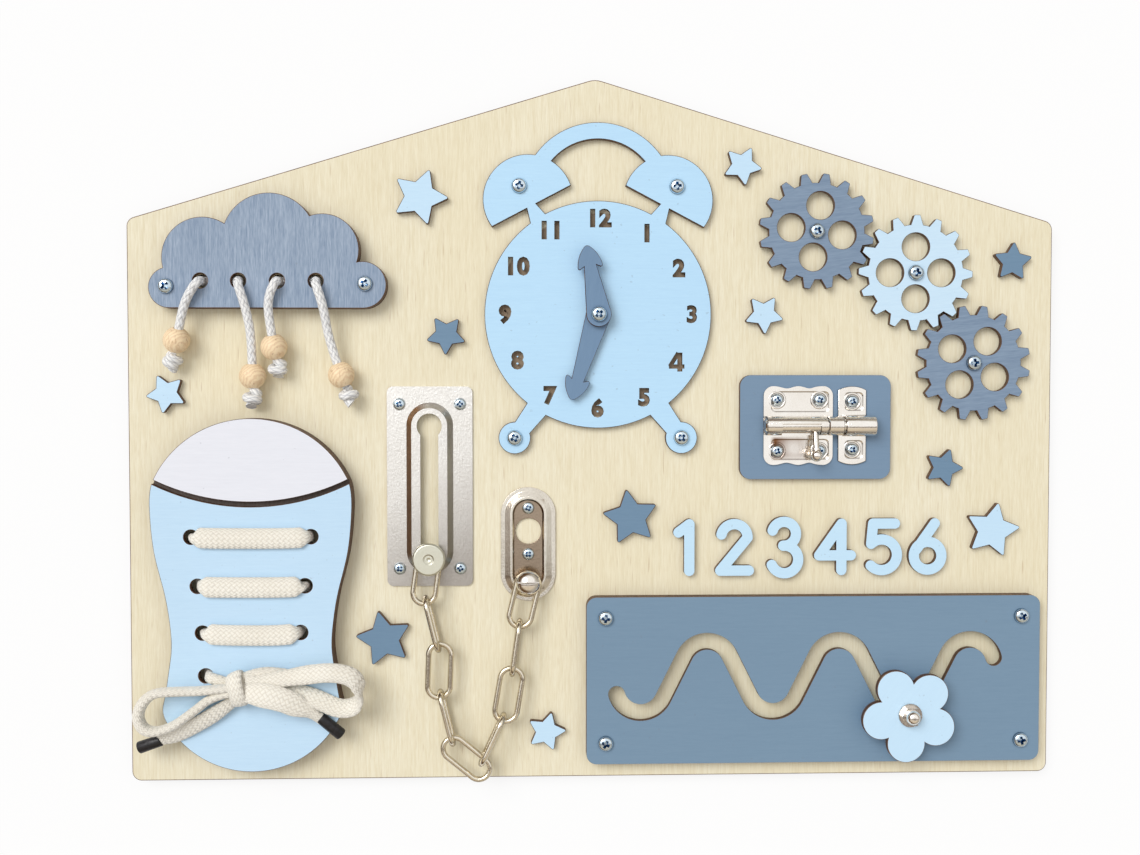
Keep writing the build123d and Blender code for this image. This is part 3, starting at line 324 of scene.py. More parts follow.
def make_piece(shape, name, finish, body, replaced=(), smooth=40, flat_from=2.0):
    """Turns a finished shape into a piece that rides on a body; level faces are shaded flat."""
    bmesh.ops.recalc_face_normals(shape, faces=shape.faces)
    mesh = as_mesh(shape, name)
    mesh.materials.append(finish)
    mesh.set_sharp_from_angle(angle=math.radians(smooth))
    for face in mesh.polygons:
        face.use_smooth = abs(face.normal.z) < flat_from
    piece = bpy.data.objects.new(name, mesh)
    scene.collection.objects.link(piece)
    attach(piece, body)
    if replaced:
        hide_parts(*replaced)
    return piece


def ply_piece(shape, name, finish, body, node):
    return make_piece(shape, name, finish, body, [node], smooth=30, flat_from=0.6)


def cut_ply(node, finish, body="board", width=0.3, clamp=True):
    """A laser-cut plywood shape with its singed rims, in place of the plain node."""
    ply_piece(singe_rims(cad_copy(node), width, clamp), f"{node}_cut", finish, body, node)


birch = bare_birch("birch_plywood", (242, 236, 213), (238, 229, 200), (222, 209, 174),
                   (84, 56, 40), (134, 98, 68))
cut_ply("back_board", birch, width=0.5, clamp=False)
inner_birch = bare_birch("birch_layers", (226, 206, 166), (212, 190, 148), (190, 160, 116),
                         (62, 38, 28), (112, 76, 50))


# ---- Cloud ----------------------------------------------
# Two plywood layers screwed to the board.  The upper one is stained grey-blue, thin enough
# to show its upright grain; the lower one has the channels in which the cords run.
def painted_ply(name, colour, deeper, grain, turn=0.0, fine=1.0):
    """Painted plywood: brushed colour over faint grain, small specks and a burnt cut rim."""
    finish, tree, shader = new_finish(name)
    place = place_in(tree)
    turned = put(tree, "Mapping", {"Vector": place, "Rotation": (0, 0, math.radians(turn)),
                                   "Scale": (fine, fine, fine)}).outputs[0]
    wood = use_effect(tree, wood_grain, {"Place": turned})
    rim = use_effect(tree, cut_rim)
    streaks = times(tree, wood["Streaks"], grain)
    paint = blend_colour(tree, streaks, colour, deeper)
    paint = blend_colour(tree, times(tree, wood["Clouds"], 0.18), paint, deeper)
    dust = spread(tree, even_noise(tree, place, 420.0, 1.0), 0.74, 0.80)
    paint = blend_colour(tree, times(tree, dust, 0.22), paint, (116, 120, 128))
    paint = blend_colour(tree, rim["Wall"], paint, rim["Colour"])
    skin = sums(tree, "ADD", streaks, times(tree, even_noise(tree, place, 900.0, 2.0), 0.25))
    dress(tree, shader, paint, spread(tree, wood["Streaks"], 0, 1, 0.49, 0.65), skin, 0.0001)
    return finish


stain = painted_ply("cloud_stain", (163, 179, 199), (116, 137, 164), 0.85, fine=1.3)
cut_ply("cloud_plate", stain)
carry("cloud_spacer", inner_birch)

# ---- Pull cords -----------------------------------------
# Two white braided cords, 4.8 mm thick.  Each comes out of one hole, runs behind the cloud
# and leaves by the next; a beech bead slides on each end above a stopper knot.
PULL_CORD = 4.8
CORD_ROUTES = {
    "left": [(-223.2, 42.3, 16.8), (-218.8, 60.0, 20.7), (-215.4, 70.6, 22.0), (-209.0, 79.9, 23.5),
             (-209.0, 79.9, 11.5), (-189.1, 79.9, 11.5), (-189.1, 79.9, 23.5), (-184.7, 66.4, 22.0),
             (-182.0, 48.0, 17.6), (-182.4, 23.0, 16.6)],
    "right": [(-169.8, 38.6, 16.8), (-172.3, 57.2, 20.7), (-173.2, 69.6, 22.1), (-168.7, 79.9, 23.5),
              (-168.7, 79.9, 11.5), (-148.4, 79.9, 11.5), (-148.4, 79.9, 23.5), (-143.9, 66.5, 22.1),
              (-141.6, 47.0, 17.6), (-133.2, 24.0, 16.6)],
}
KNOT_TURNS = {"left": (0.6, 2.6), "right": (2.1, 4.0)}


def in_metres(place):
    return tuple(v * MM for v in place)


def follow(points, steps=14):
    """The smooth line of a cord, read from the spline that its route controls."""
    route = bpy.data.curves.new("route", "CURVE")
    route.dimensions = "3D"
    route.resolution_u = steps
    spline = route.splines.new("NURBS")
    spline.points.add(len(points) - 1)
    for control, place in zip(spline.points, points):
        control.co = (*in_metres(place), 1.0)
    spline.order_u = 3
    spline.use_endpoint_u = True
    holder = bpy.data.objects.new("route", route)
    reading = bpy.data.meshes.new_from_object(holder)
    line = [v.co.copy() for v in reading.vertices]
    bpy.data.objects.remove(holder)
    bpy.data.curves.remove(route)
    bpy.data.meshes.remove(reading)
    return line


def ways_along(line):
    """At each point of a line, the way ahead and a level way to the side, turning smoothly."""
    ways, side = [], None
    for index in range(len(line)):
        ahead = (line[min(index + 1, len(line) - 1)] - line[max(index - 1, 0)]).normalized()
        level = Vector((0, 0, 1)).cross(ahead)
        share = min(1.0, max(0.0, (level.length - 0.2) / 0.5))
        if side is None:
            side = level if level.length > 0.1 else Vector((1, 0, 0))
        side = (side - ahead * side.dot(ahead)).normalized()
        if level.dot(side) < 0:
            level = -level
        if level.length > 0:
            side = (side * (1 - share * 0.5) + level.normalized() * share * 0.5).normalized()
        ways.append((ahead, side.copy()))
    return ways


def braid_along(shape, line, section, around=16, squareness=1.0):
    """Adds a closed tube to shape: rings set along the line and bridged, with the weave's map."""
    weave = shape.loops.layers.uv.verify()
    rings, run = [], 0.0
    for index, (place, (ahead, side)) in enumerate(zip(line, ways_along(line))):
        side = (side - ahead * side.dot(ahead)).normalized()
        run += (place - line[index - 1]).length if index else 0.0
        half_wide, half_thick, *lean = section(index, place)
        if lean:
            side = Matrix.Rotation(math.radians(lean[0]), 3, ahead) @ side
        ring = bmesh.ops.create_circle(shape, segments=around, radius=1.0)["verts"]
        for corner in ring:
            for axis in (0, 1):
                corner.co[axis] = math.copysign(abs(corner.co[axis]) ** squareness, corner.co[axis])
        axes = (side * half_wide, ahead.cross(side) * half_thick, ahead)
        stand = Matrix.Translation(place) @ Matrix(axes).transposed().to_4x4()
        bmesh.ops.transform(shape, matrix=stand, verts=ring)
        rings.append((ring, run))
    for (first, start), (second, stop) in zip(rings, rings[1:]):
        edges = {e for v in first + second for e in v.link_edges if all(x in first for x in e.verts)
                 or all(x in second for x in e.verts)}
        number = {v: (k, start) for k, v in enumerate(first)} | {v: (k, stop) for k, v in enumerate(second)}
        for face in bmesh.ops.bridge_loops(shape, edges=list(edges))["faces"]:
            spots = [number[corner.vert][0] for corner in face.loops]
            for corner in face.loops:
                turn, along = number[corner.vert]
                if max(spots) - min(spots) > 1 and turn == 0:
                    turn = around
                corner[weave].uv = (turn / around, along / MM)
    for ring, run in (rings[0], rings[-1]):
        rim = {e for v in ring for e in v.link_edges if all(x in ring for x in e.verts)}
        bmesh.ops.contextual_create(shape, geom=list(rim))


# The braid's relief, and the gaps between its strands, which the fibre finishes paint darker as painted
# shade.
braid, given, gives = new_effect(
    "braid", [("Map", "Vector", (0, 0, 0)), ("Strands", "Float", 6.0), ("Pitch", "Float", 5.0)],
    [("Height", "Float"), ("Gap Shade", "Float")])
parts = put(braid, "SeparateXYZ", {"Vector": given["Map"]}).outputs
turns = times(braid, parts["X"], given["Strands"])
rows = sums(braid, "DIVIDE", parts["Y"], given["Pitch"])
rising, falling = sums(braid, "ADD", turns, rows), sums(braid, "SUBTRACT", turns, rows)
crossings = sums(braid, "ADD", sums(braid, "FLOOR", rising), sums(braid, "FLOOR", falling))
over = sums(braid, "FLOORED_MODULO", crossings, 2.0)
first, second = [sums(braid, "ABSOLUTE", sums(braid, "SINE", times(braid, way, math.pi)))
                 for way in (rising, falling)]
chosen = put(braid, "Mix", {0: over, 2: first, 3: second}, data_type="FLOAT").outputs[0]
feed(braid, gives["Height"], chosen)
feed(braid, gives["Gap Shade"], spread(braid, chosen, 0.75, 0.15))


def braided_fibre(name, colour, shade, strands, pitch, depth, gap_shade_share):
    """Braided thread: strands that pass over and under each other, painted darker in the gaps between them as
    painted shade, with a soft fuzz.
    """
    finish, tree, shader = new_finish(name)
    woven = put(tree, "UVMap").outputs["UV"]
    laid = use_effect(tree, braid, {"Map": woven, "Strands": strands, "Pitch": pitch})
    place = place_in(tree)
    fuzz = even_noise(tree, place, 1600.0, 3.0)
    soil = spread(tree, even_noise(tree, place, 60.0, 2.0), 0.35, 0.75, 0.0, 0.22)
    dulled = blend_colour(tree, times(tree, laid["Gap Shade"], gap_shade_share), colour, shade)
    raised = sums(tree, "ADD", laid["Height"], times(tree, fuzz, 0.3))
    dress(tree, shader, blend_colour(tree, soil, dulled, shade), spread(tree, fuzz, 0.3, 0.7, 0.78, 0.95),
          raised, depth, 0.9)
    shader.inputs["Sheen Weight"].default_value = 0.25
    shader.inputs["Sheen Roughness"].default_value = 0.6
    return finish


white_braid = braided_fibre("white_braid", (252, 252, 250), (198, 200, 206), 6.0, 4.4, 0.0004, 0.7)

beech, tree, shader = new_finish("beech_bead")
turned = put(tree, "Mapping", {"Vector": place_in(tree), "Rotation": (0.5, 0.3, 0.9)}).outputs[0]
rings = put(tree, "TexWave", {"Vector": turned, "Scale": 190.0, "Distortion": 5.0, "Detail": 3.0,
                              "Detail Scale": 1.8}).outputs["Fac"]
pores = stretched_noise(tree, place_in(tree), (900, 260, 900), 2)
lined = blend_colour(tree, spread(tree, rings, 0.25, 0.9, 0.0, 0.5), (252, 228, 190), (226, 188, 144))
dress(tree, shader, blend_colour(tree, spread(tree, pores, 0.58, 0.74, 0, 0.6), lined, (186, 140, 96)),
      0.5, pores, 0.0002)
carry("wooden_beads", beech)


def stopper_knot(shape, end, above, turn):
    """One overhand knot, drawn tight under the bead, with its short frayed tail."""
    up = (Vector(above) - Vector(end)).normalized()
    stand = up.to_track_quat("Z", "Y").to_matrix() @ Matrix.Rotation(turn, 3, "Z")
    local = [(0, 0, -0.4), (2.6, 0.4, -1.9), (1.6, 3.1, -3.2), (-2.6, 2.6, -4.0), (-3.3, -1.2, -4.6),
             (-0.6, -3.5, -5.0), (2.9, -2.2, -5.4), (3.2, 1.3, -5.9), (0.4, 2.9, -6.6), (-1.4, 0.6, -7.4),
             (-0.6, -0.4, -9.6)]
    line = follow([Vector(end) + stand @ Vector(p) for p in local], 6)
    frayed_from = len(line) - 5
    braid_along(shape, line, lambda index, spot: ((2.35 + 0.14 * max(0, index - frayed_from)) * MM,) * 2, 12)


for hand, points in CORD_ROUTES.items():
    line = follow(points)
    shape = bmesh.new()
    braid_along(shape, line, lambda index, spot: (PULL_CORD / 2 * MM,) * 2)
    pull_cord = make_piece(shape, f"braided_cord_{hand}", white_braid, "board",
                           [f"pull_cord_{hand}"])
    shape = bmesh.new()
    stopper_knot(shape, points[0], points[1], KNOT_TURNS[hand][0])
    stopper_knot(shape, points[-1], points[-2], KNOT_TURNS[hand][1])
    knots = make_piece(shape, f"stopper_knots_{hand}", white_braid, "board", ["cord_knots"])

# ---- Lace-up shoe ---------------------------------------
# A light blue upper and a white toe cap, cut apart by a thin gap and glued on a thicker
# layer.  The lace goes down and up through eight drilled holes.
cut_ply("shoe_plate", painted_ply("shoe_blue", (199, 228, 250), (182, 214, 240), 0.30, 90))
cut_ply("shoe_toe_cap", painted_ply("cap_white", (236, 238, 246), (220, 223, 232), 0.25, 90))
# The layer under the cut between cap and upper is painted dark brown-grey, as painted shade at the bottom of
# that narrow groove.
carry("shoe_spacer", bare_birch("groove_shade_layer", (104, 90, 80), (88, 74, 66), (70, 56, 48),
                                (62, 38, 28), (112, 76, 50)))

# ---- Shoe lace ------------------------------------------
# One flat cream cotton braid, 11 mm wide, laced in three bars and tied in a bow.  It bunches
# where it dives into the holes, and its two ends are bound in black heat-shrink sleeve.
cotton = braided_fibre("cotton_lace", (252, 248, 237), (222, 212, 192), 15.0, 2.9, 0.00028, 0.55)
SHOE_MIDDLE, SHOE_TOP = -182.9, 20.4
SIDES = (-1, 1)
LACE_HOLES = [(SHOE_MIDDLE + s * half, y) for half, y in ((31.5, -55.5), (28.3, -81.6), (25.8, -106.5),
                                                          (24.3, -129.3)) for s in SIDES]
UNDER_BOW = -120.0
lace_points = [(-191.8, -133.7, 24.8), (-198.0, -131.6, 24.2), (-206.0, -129.5, 23.4), (-206.6, -129.3, 12.4),
               (-208.0, -106.5, 12.4), (-207.4, -106.5, 22.9), (-197.0, -107.4, 22.9), (-168.8, -107.8, 22.9),
               (-158.4, -106.5, 22.9), (-157.8, -106.5, 12.4), (-155.3, -81.6, 12.4), (-155.9, -81.6, 22.9),
               (-166.3, -82.2, 22.9), (-199.5, -82.0, 22.9), (-209.9, -81.6, 22.9), (-210.5, -81.6, 12.4),
               (-213.7, -55.5, 12.4), (-213.1, -55.5, 22.9), (-202.7, -56.0, 22.9), (-163.1, -56.2, 22.9),
               (-152.7, -55.5, 22.9), (-152.1, -55.5, 12.4), (-166.6, -69.5, 12.4), (-167.6, -113.3, 12.4),
               (-159.2, -129.3, 12.4), (-159.8, -129.3, 23.8), (-167.0, -127.2, 25.6), (-178.0, -126.2, 26.6),
               (-187.0, -129.8, 27.0)]


def lace_bar(index, spot):
    """Wide and flat on the shoe, bunched up in a hole, behind the shoe and under the bow."""
    away = min(math.hypot(spot.x / MM - x, spot.y / MM - y) for x, y in LACE_HOLES)
    on_top = spot.z > SHOE_TOP * MM and spot.y > UNDER_BOW * MM
    share = min(1.0, max(0.0, (away - 0.8) / 4.6)) if on_top else 0.0
    share = share * share * (3 - 2 * share)
    return (3.0 + 2.5 * share) * MM, (1.9 - 0.5 * share) * MM


def lace_strand(name, points, section, replaced, steps=12):
    """One length of the lace, braided along its route."""
    line = follow(points, steps)
    shape = bmesh.new()
    braid_along(shape, line, section, 18, 0.8)
    strand = make_piece(shape, name, cotton, "board", replaced)


lace_strand("laced_bars", lace_points, lace_bar, ["shoe_lace"], steps=10)


def between(value, stops):
    """Reads a measure off the stops on both sides of a value, easing from one to the next."""
    for (start, first), (stop, second) in zip(stops, stops[1:]):
        if value <= stop:
            share = max(0.0, (value - start) / (stop - start))
            return first + (second - first) * share * share * (3 - 2 * share)
    return stops[-1][1]


def loop_left(index, spot):
    """On its edge all the way round, a little wider at the far bend."""
    return between(-spot.x / MM, ((196, 2.3), (228, 2.4), (241, 2.9))) * MM, 4.3 * MM


def loop_right(index, spot):
    """Flat where it leaves the knot, rolled over at the far bend and flat again on its way back."""
    run, drop = spot.x / MM, -spot.y / MM
    if run > -136:
        roll = between(drop, ((128, -30), (133, -50), (141, -116), (146, -146)))
    else:
        roll = -146 if drop > 132.6 else between(run, ((-166, -18), (-140, -30)))
    return (between(run, ((-184, 2.9), (-166, 4.4), (-150, 5.2))) * MM,
            between(run, ((-184, 2.4), (-160, 1.7))) * MM, roll)


lace_strand("bow_loop_left", [(-189.5, -133.4, 29.4), (-205.6, -135.4, 29.8), (-222.0, -135.6, 29.2),
                              (-235.0, -136.8, 28.4), (-242.2, -148.0, 27.6), (-237.6, -157.8, 27.4),
                              (-225.0, -156.0, 28.0), (-212.0, -146.6, 28.6), (-201.4, -138.0, 28.6),
                              (-189.5, -136.2, 28.0)],
            loop_left, ["lace_loop_left"])
lace_strand("bow_loop_right", [(-184.5, -130.4, 28.0), (-169.0, -130.2, 28.2), (-154.0, -127.4, 29.4),
                               (-138.0, -125.6, 30.4), (-125.6, -129.6, 29.4), (-124.8, -143.6, 26.6),
                               (-135.0, -147.4, 25.6), (-149.0, -140.4, 25.4), (-165.0, -135.8, 25.6),
                               (-183.5, -134.8, 26.6)],
            loop_right, ["lace_loop_right"])

sleeve_black, tree, shader = new_finish("heat_shrink_black")
wrinkles = even_noise(tree, place_in(tree), 420.0, 3.0)
dress(tree, shader, blend_colour(tree, spread(tree, wrinkles, 0.4, 0.7), (16, 16, 20), (38, 36, 41)),
      spread(tree, wrinkles, 0.3, 0.7, 0.34, 0.5), wrinkles, 0.0003, 0.6)


def shift(shape, by, corners=None):
    """Moves a shape, or some of its corners, by millimetres."""
    bmesh.ops.translate(shape, vec=in_metres(by), verts=corners or shape.verts)


def new_cone(low_radius, high_radius, long, around):
    """A closed upright cone about the origin."""
    shape = bmesh.new()
    bmesh.ops.create_cone(shape, cap_ends=True, segments=around, radius1=low_radius * MM,
                          radius2=high_radius * MM, depth=long * MM)
    return shape


def rise(edge):
    return abs(edge.verts[0].co.z - edge.verts[1].co.z)


def bound_end(name, before, end, long):
    """A shrunk sleeve on the lace's end: a tube with softly rounded rims."""
    back = (Vector(before) - Vector(end)).normalized()
    stand = Matrix.Translation(Vector(end) * MM) @ back.to_track_quat("Z", "Y").to_matrix().to_4x4()
    shape = new_cone(3.3, 3.1, long, 24)
    shift(shape, (0, 0, long / 2 - 0.5))
    bevel(shape, [edge for edge in shape.edges if rise(edge) < 1e-6], 0.7, 3, clamp=False)
    bmesh.ops.scale(shape, vec=(1.0, 0.86, 1.0), verts=shape.verts)
    bmesh.ops.transform(shape, matrix=stand, verts=shape.verts)
    return make_piece(shape, name, sleeve_black, "board", ["lace_aglets"])


def tail_left(index, spot):
    """Leans on its lower edge beside the loop, and is gathered again at its sleeve."""
    half_wide = between(-spot.x / MM, ((190, 3.4), (204, 4.6), (224, 4.8), (232, 2.9)))
    return half_wide * MM, 1.6 * MM, -24


def tail_right(index, spot):
    """Comes out over the knot spread to its full width, and is gathered again at its sleeve."""
    half_wide = between(spot.x / MM, ((-187, 4.8), (-174, 6.6), (-160, 6.2), (-148, 2.9)))
    return half_wide * MM, 1.5 * MM, -10


TAILS = [("left", tail_left, 13.5, [(-189.0, -139.6, 26.4), (-200.0, -147.8, 25.4), (-212.0, -154.9, 24.8),
                                    (-224.0, -160.6, 23.6), (-242.4, -167.4, 20.4)]),
         ("right", tail_right, 15.5, [(-189.0, -136.4, 28.6), (-179.0, -136.2, 32.2), (-166.0, -139.2, 31.8),
                                      (-157.0, -144.0, 29.4), (-148.4, -149.2, 25.4),
                                      (-136.2, -161.2, 20.8)])]
for hand, section, long, points in TAILS:
    aglet = bound_end(f"aglet_{hand}", points[-2], points[-1], long)
    lace_strand(f"bow_tail_{hand}", points, section, [f"lace_tail_{hand}"])

wrap = follow([(-187.4, -134.0, 22.8), (-190.4, -127.6, 24.0), (-190.6, -126.6, 29.6),
               (-190.0, -130.6, 32.8), (-188.2, -138.2, 32.6), (-187.4, -143.0, 29.4),
               (-187.6, -142.2, 24.0), (-187.8, -135.4, 22.8)], 10)
shape = bmesh.new()
braid_along(shape, wrap, lambda index, spot: (4.2 * MM, 1.5 * MM), 16, 0.8)
heart = bmesh.ops.create_uvsphere(shape, u_segments=20, v_segments=12, radius=1.0)["verts"]
bmesh.ops.scale(shape, vec=(5.6 * MM, 6.8 * MM, 4.2 * MM), verts=heart)
shift(shape, (-189.4, -134.8, 27.6), heart)
make_piece(shape, "bow_knot", cotton, "board", ["lace_knot"])

# ---- Alarm clock dial -----------------------------------
# Light blue plywood cut as an alarm clock, with the twelve numerals cut right through, so that their burnt
# walls and the board behind show; that board is painted darker, as painted shade inside the holes.
dial_blue = painted_ply("dial_blue", (189, 227, 253), (174, 212, 243), 0.30, 90)
HOURS = {12: (1.9, 113.8), 1: (27.7, 105.9), 2: (45.0, 87.2), 3: (52.1, 62.5), 4: (44.1, 37.2),
         5: (26.3, 17.8), 6: (1.1, 11.9), 7: (-24.7, 18.9), 8: (-41.9, 37.7), 9: (-48.5, 62.4),
         10: (-42.1, 88.0), 11: (-24.1, 107.3)}
NUMERAL_TALL, NUMERAL_DEEP, DIAL_LEVEL = 12.2, 8.0, 11.0
FOUR_STROKES = ((2.7, 10.2, 1.5, 0.0, 0), (8.4, 2.3, -0.2, -2.4, 0), (2.3, 8.6, -1.6, 1.3, -32))


def cut_away(shape, cutter, crossing=False, operation="DIFFERENCE"):
    """Cuts one closed shape, which may cross itself, out of another, or joins it on."""
    holders = []
    for part in (shape, cutter):
        bmesh.ops.recalc_face_normals(part, faces=part.faces)
        holders.append(bpy.data.objects.new("blank", as_mesh(part, "blank")))
        scene.collection.objects.link(holders[-1])
    saw = holders[0].modifiers.new("saw", "BOOLEAN")
    saw.operation, saw.solver, saw.object = operation, "EXACT", holders[1]
    saw.use_self = crossing
    ready = holders[0].evaluated_get(bpy.context.evaluated_depsgraph_get())
    result = bmesh.new()
    result.from_mesh(ready.to_mesh())
    for holder in holders:
        bpy.data.objects.remove(holder)
    return result


def turn_by(shape, degrees, axis="Z", corners=None):
    bmesh.ops.rotate(shape, cent=(0, 0, 0), matrix=Matrix.Rotation(math.radians(degrees), 3, axis),
                     verts=corners or shape.verts)


def block(size, place, turn=0.0):
    """A box, turned about the upright and set in its place."""
    box = bmesh.new()
    bmesh.ops.create_cube(box, size=1.0)
    bmesh.ops.scale(box, vec=in_metres(size), verts=box.verts)
    turn_by(box, turn)
    shift(box, place)
    return box


numeral_cutter = bmesh.new()
for hour, (x, y) in HOURS.items():
    if hour == 4:
        continue
    lettering = bpy.data.curves.new("hour", "FONT")
    lettering.body = str(hour)
    lettering.size = NUMERAL_TALL * MM
    lettering.extrude = NUMERAL_DEEP / 2 * MM
    lettering.offset = 0.0006 if hour == 3 else 0.0008
    lettering.resolution_u = 3
    lettering.align_x, lettering.align_y = "CENTER", "CENTER"
    lettering.space_character = 1.12
    holder = bpy.data.objects.new("hour", lettering)
    flat = bpy.data.meshes.new_from_object(holder)
    flat.transform(Matrix.Translation(in_metres((x, y, DIAL_LEVEL))))
    numeral_cutter.from_mesh(flat)
    bpy.data.objects.remove(holder)
bmesh.ops.remove_doubles(numeral_cutter, verts=numeral_cutter.verts, dist=1e-6)
dial = singe_rims(cad_copy("clock_face"))
bmesh.ops.triangulate(dial, faces=dial.faces)
dial = cut_away(dial, numeral_cutter, True)
for wide, tall, across, up, lean in FOUR_STROKES:
    x, y = HOURS[4]
    dial = cut_away(dial, block((wide, tall, NUMERAL_DEEP), (x + across, y + up, DIAL_LEVEL), lean))
ply_piece(dial, "clock_dial", dial_blue, "board", "clock_face")

# ---- Clock hands ----------------------------------------
# Two grey-blue plywood hands with spade heads, one over the other on a smooth screw.  Each
# head is one with its arm, so a small plug fills the notch between them.
hand_grey = painted_ply("hand_grey", (112, 142, 173), (96, 125, 158), 0.25, 10)
for node, neck, turn in (("minute_hand", 38.4, -197.6), ("hour_hand", 27.4, 10.3)):
    low, high = [corner[2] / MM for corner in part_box(node)]
    plug = block((4.4, 1.8, high - low), (0, neck, (low + high) / 2))
    turn_by(plug, turn)
    shift(plug, (*DIAL_MIDDLE, 0))
    shape = join_flat(cut_away(cad_copy(node), plug, operation="UNION"))
    ply_piece(singe_rims(shape, 0.25), f"{node}_cut", hand_grey, node, node)

# ---- Gears ----------------------------------------------
# Three plywood gears of sixteen round-tipped teeth, stained so that the grain shows, with
# four round windows each.  They mesh and turn on smooth screws over small washers.
gear_grey = painted_ply("gear_grey", (136, 157, 180), (100, 122, 150), 0.55, 84)
gear_pale = painted_ply("gear_pale", (208, 234, 252), (188, 218, 242), 0.35, 84)
cut_ply("gear_1", gear_grey, "gear_1")
cut_ply("gear_2", gear_pale, "gear_2")
cut_ply("gear_3", gear_grey, "gear_3")

# ---- Barrel bolt ----------------------------------------
# A small nickel-plated barrel bolt on its own grey-blue panel: a wavy pressed plate with the
# barrel, a sliding rod with a lift peg, and a keeper.  Low rings are pressed round its screws.
LATCH_PLATE_TOP, ROD_LINE = 14.2, 2.9
LATCH_SCREWS = [(109.8 + sx * 11.6, ROD_LINE + sy * 13.8) for sx in SIDES for sy in SIDES]
KEEPER_SCREWS = [(139.2, ROD_LINE + s * 13.0) for s in SIDES]
cut_ply("latch_panel", painted_ply("panel_grey", (120, 146, 172), (106, 133, 160), 0.18, 90))

plating_wear, given, gives = new_effect("plating_wear", [("Place", "Vector", (0, 0, 0))],
                                        [("Haze", "Float"), ("Scratches", "Float"), ("Mottle", "Float")])
for label, scale, detail, rough, low, high in (("Haze", (55, 55, 55), 4, 0.55, 0.3, 0.75),
                                               ("Scratches", (2600, 160, 1500), 2, 0.55, 0.56, 0.72),
                                               ("Mottle", (760, 760, 760), 3, 0.7, 0.3, 0.7)):
    noise = stretched_noise(plating_wear, given["Place"], scale, detail, rough)
    feed(plating_wear, gives[label], spread(plating_wear, noise, low, high))


def plated(name, bright, dull, rough, mottle, scratch=0.25, dents=0.00005):
    """Plated steel: a bright skin with hazy patches, fine scratches and a slight mottle."""
    finish, tree, shader = new_finish(name)
    wear = use_effect(tree, plating_wear, {"Place": place_in(tree)})
    specks = times(tree, wear["Mottle"], mottle)
    colour = blend_colour(tree, times(tree, wear["Haze"], 0.45), bright, dull)
    colour = blend_colour(tree, specks, colour, dull)
    colour = blend_colour(tree, times(tree, wear["Scratches"], scratch), colour, dull)
    dulled = spread(tree, sums(tree, "ADD", wear["Haze"], specks), 0.0, 1.6, rough - 0.07, rough + 0.13)
    dress(tree, shader, colour, dulled, sums(tree, "ADD", wear["Mottle"], wear["Scratches"]), dents, 0.35)
    shader.inputs["Metallic"].default_value = 1.0
    return finish


def facing(finish, direction, low, high, amount=1.0):
    """Where a surface faces one way."""
    tree = finish.node_tree
    surface = put(tree, "TexCoord").outputs["Normal"]
    turned = put(tree, "VectorMath", {0: surface, 1: direction}, operation="DOT_PRODUCT").outputs["Value"]
    return spread(tree, turned, low, high, 0.0, amount)


def darken(finish, mask, colour):
    """Darkens a finish where a mask says so; here it paints shade and reflections."""
    tree = finish.node_tree
    target = tree.nodes["Principled BSDF"].inputs["Base Color"]
    feed(tree, target, blend_colour(tree, mask, target.links[0].from_socket, colour))


def outlined(finish, colour, amount):
    """Paints a dark reflection on a finish where it turns away, as polished wire shows in a bright room."""
    turned = put(finish.node_tree, "LayerWeight", {"Blend": 0.5}).outputs["Facing"]
    darken(finish, spread(finish.node_tree, turned, 0.45, 0.85, 0.0, amount), colour)


def soft_edged(node, name, finish, body, width, sharp=32, shape=None):
    """A plated part with its sharp edges rolled over, in place of the plain node."""
    shape = shape or cad_copy(node)
    edges = [e for e in shape.edges if len(e.link_faces) == 2 and e.calc_face_angle(0) > math.radians(sharp)]
    bevel(shape, edges, width, 3)
    return make_piece(shape, name, finish, body, [node], 35, 0.999)


def pressed_down(node, pockets):
    """A copy of a sheet part with shallow round-cornered pockets pressed into its flat top."""
    shape = cad_copy(node)
    for x, y, wide, tall in pockets:
        die = block((wide, tall, 0.8), (0, 0, 0))
        bevel(die, [edge for edge in die.edges if rise(edge) > 0.5 * MM], 2.4, 4, clamp=False)
        foot = [v for v in die.verts if v.co.z < 0]
        bmesh.ops.scale(die, vec=((wide - 2.8) / wide, (tall - 2.8) / tall, 1), verts=foot)
        shift(die, (x, y, LATCH_PLATE_TOP))
        shape = cut_away(shape, die)
    return shape


# The sheet's end faces are painted near black and the slopes of its pressings darker, both as painted shade;
# round its lower screws lies a brown painted reflection, but for a pale spot.
bright_nickel, sheet_nickel = [plated(name, (250, 246, 240), (226, 216, 202), 0.14, 0.12)
                               for name in ("bright_nickel", "sheet_nickel")]
tree = sheet_nickel.node_tree
for side in SIDES:
    darken(sheet_nickel, facing(sheet_nickel, (side, 0, 0), 0.9, 0.97, 0.92), (40, 34, 30))
spot = axes_in(tree)
darken(sheet_nickel, times(tree, facing(sheet_nickel, (0, 0, 1), 0.96, 0.88, 0.5),
                           spread(tree, spot["Z"], 0.0144, 0.0143)), (84, 70, 58))
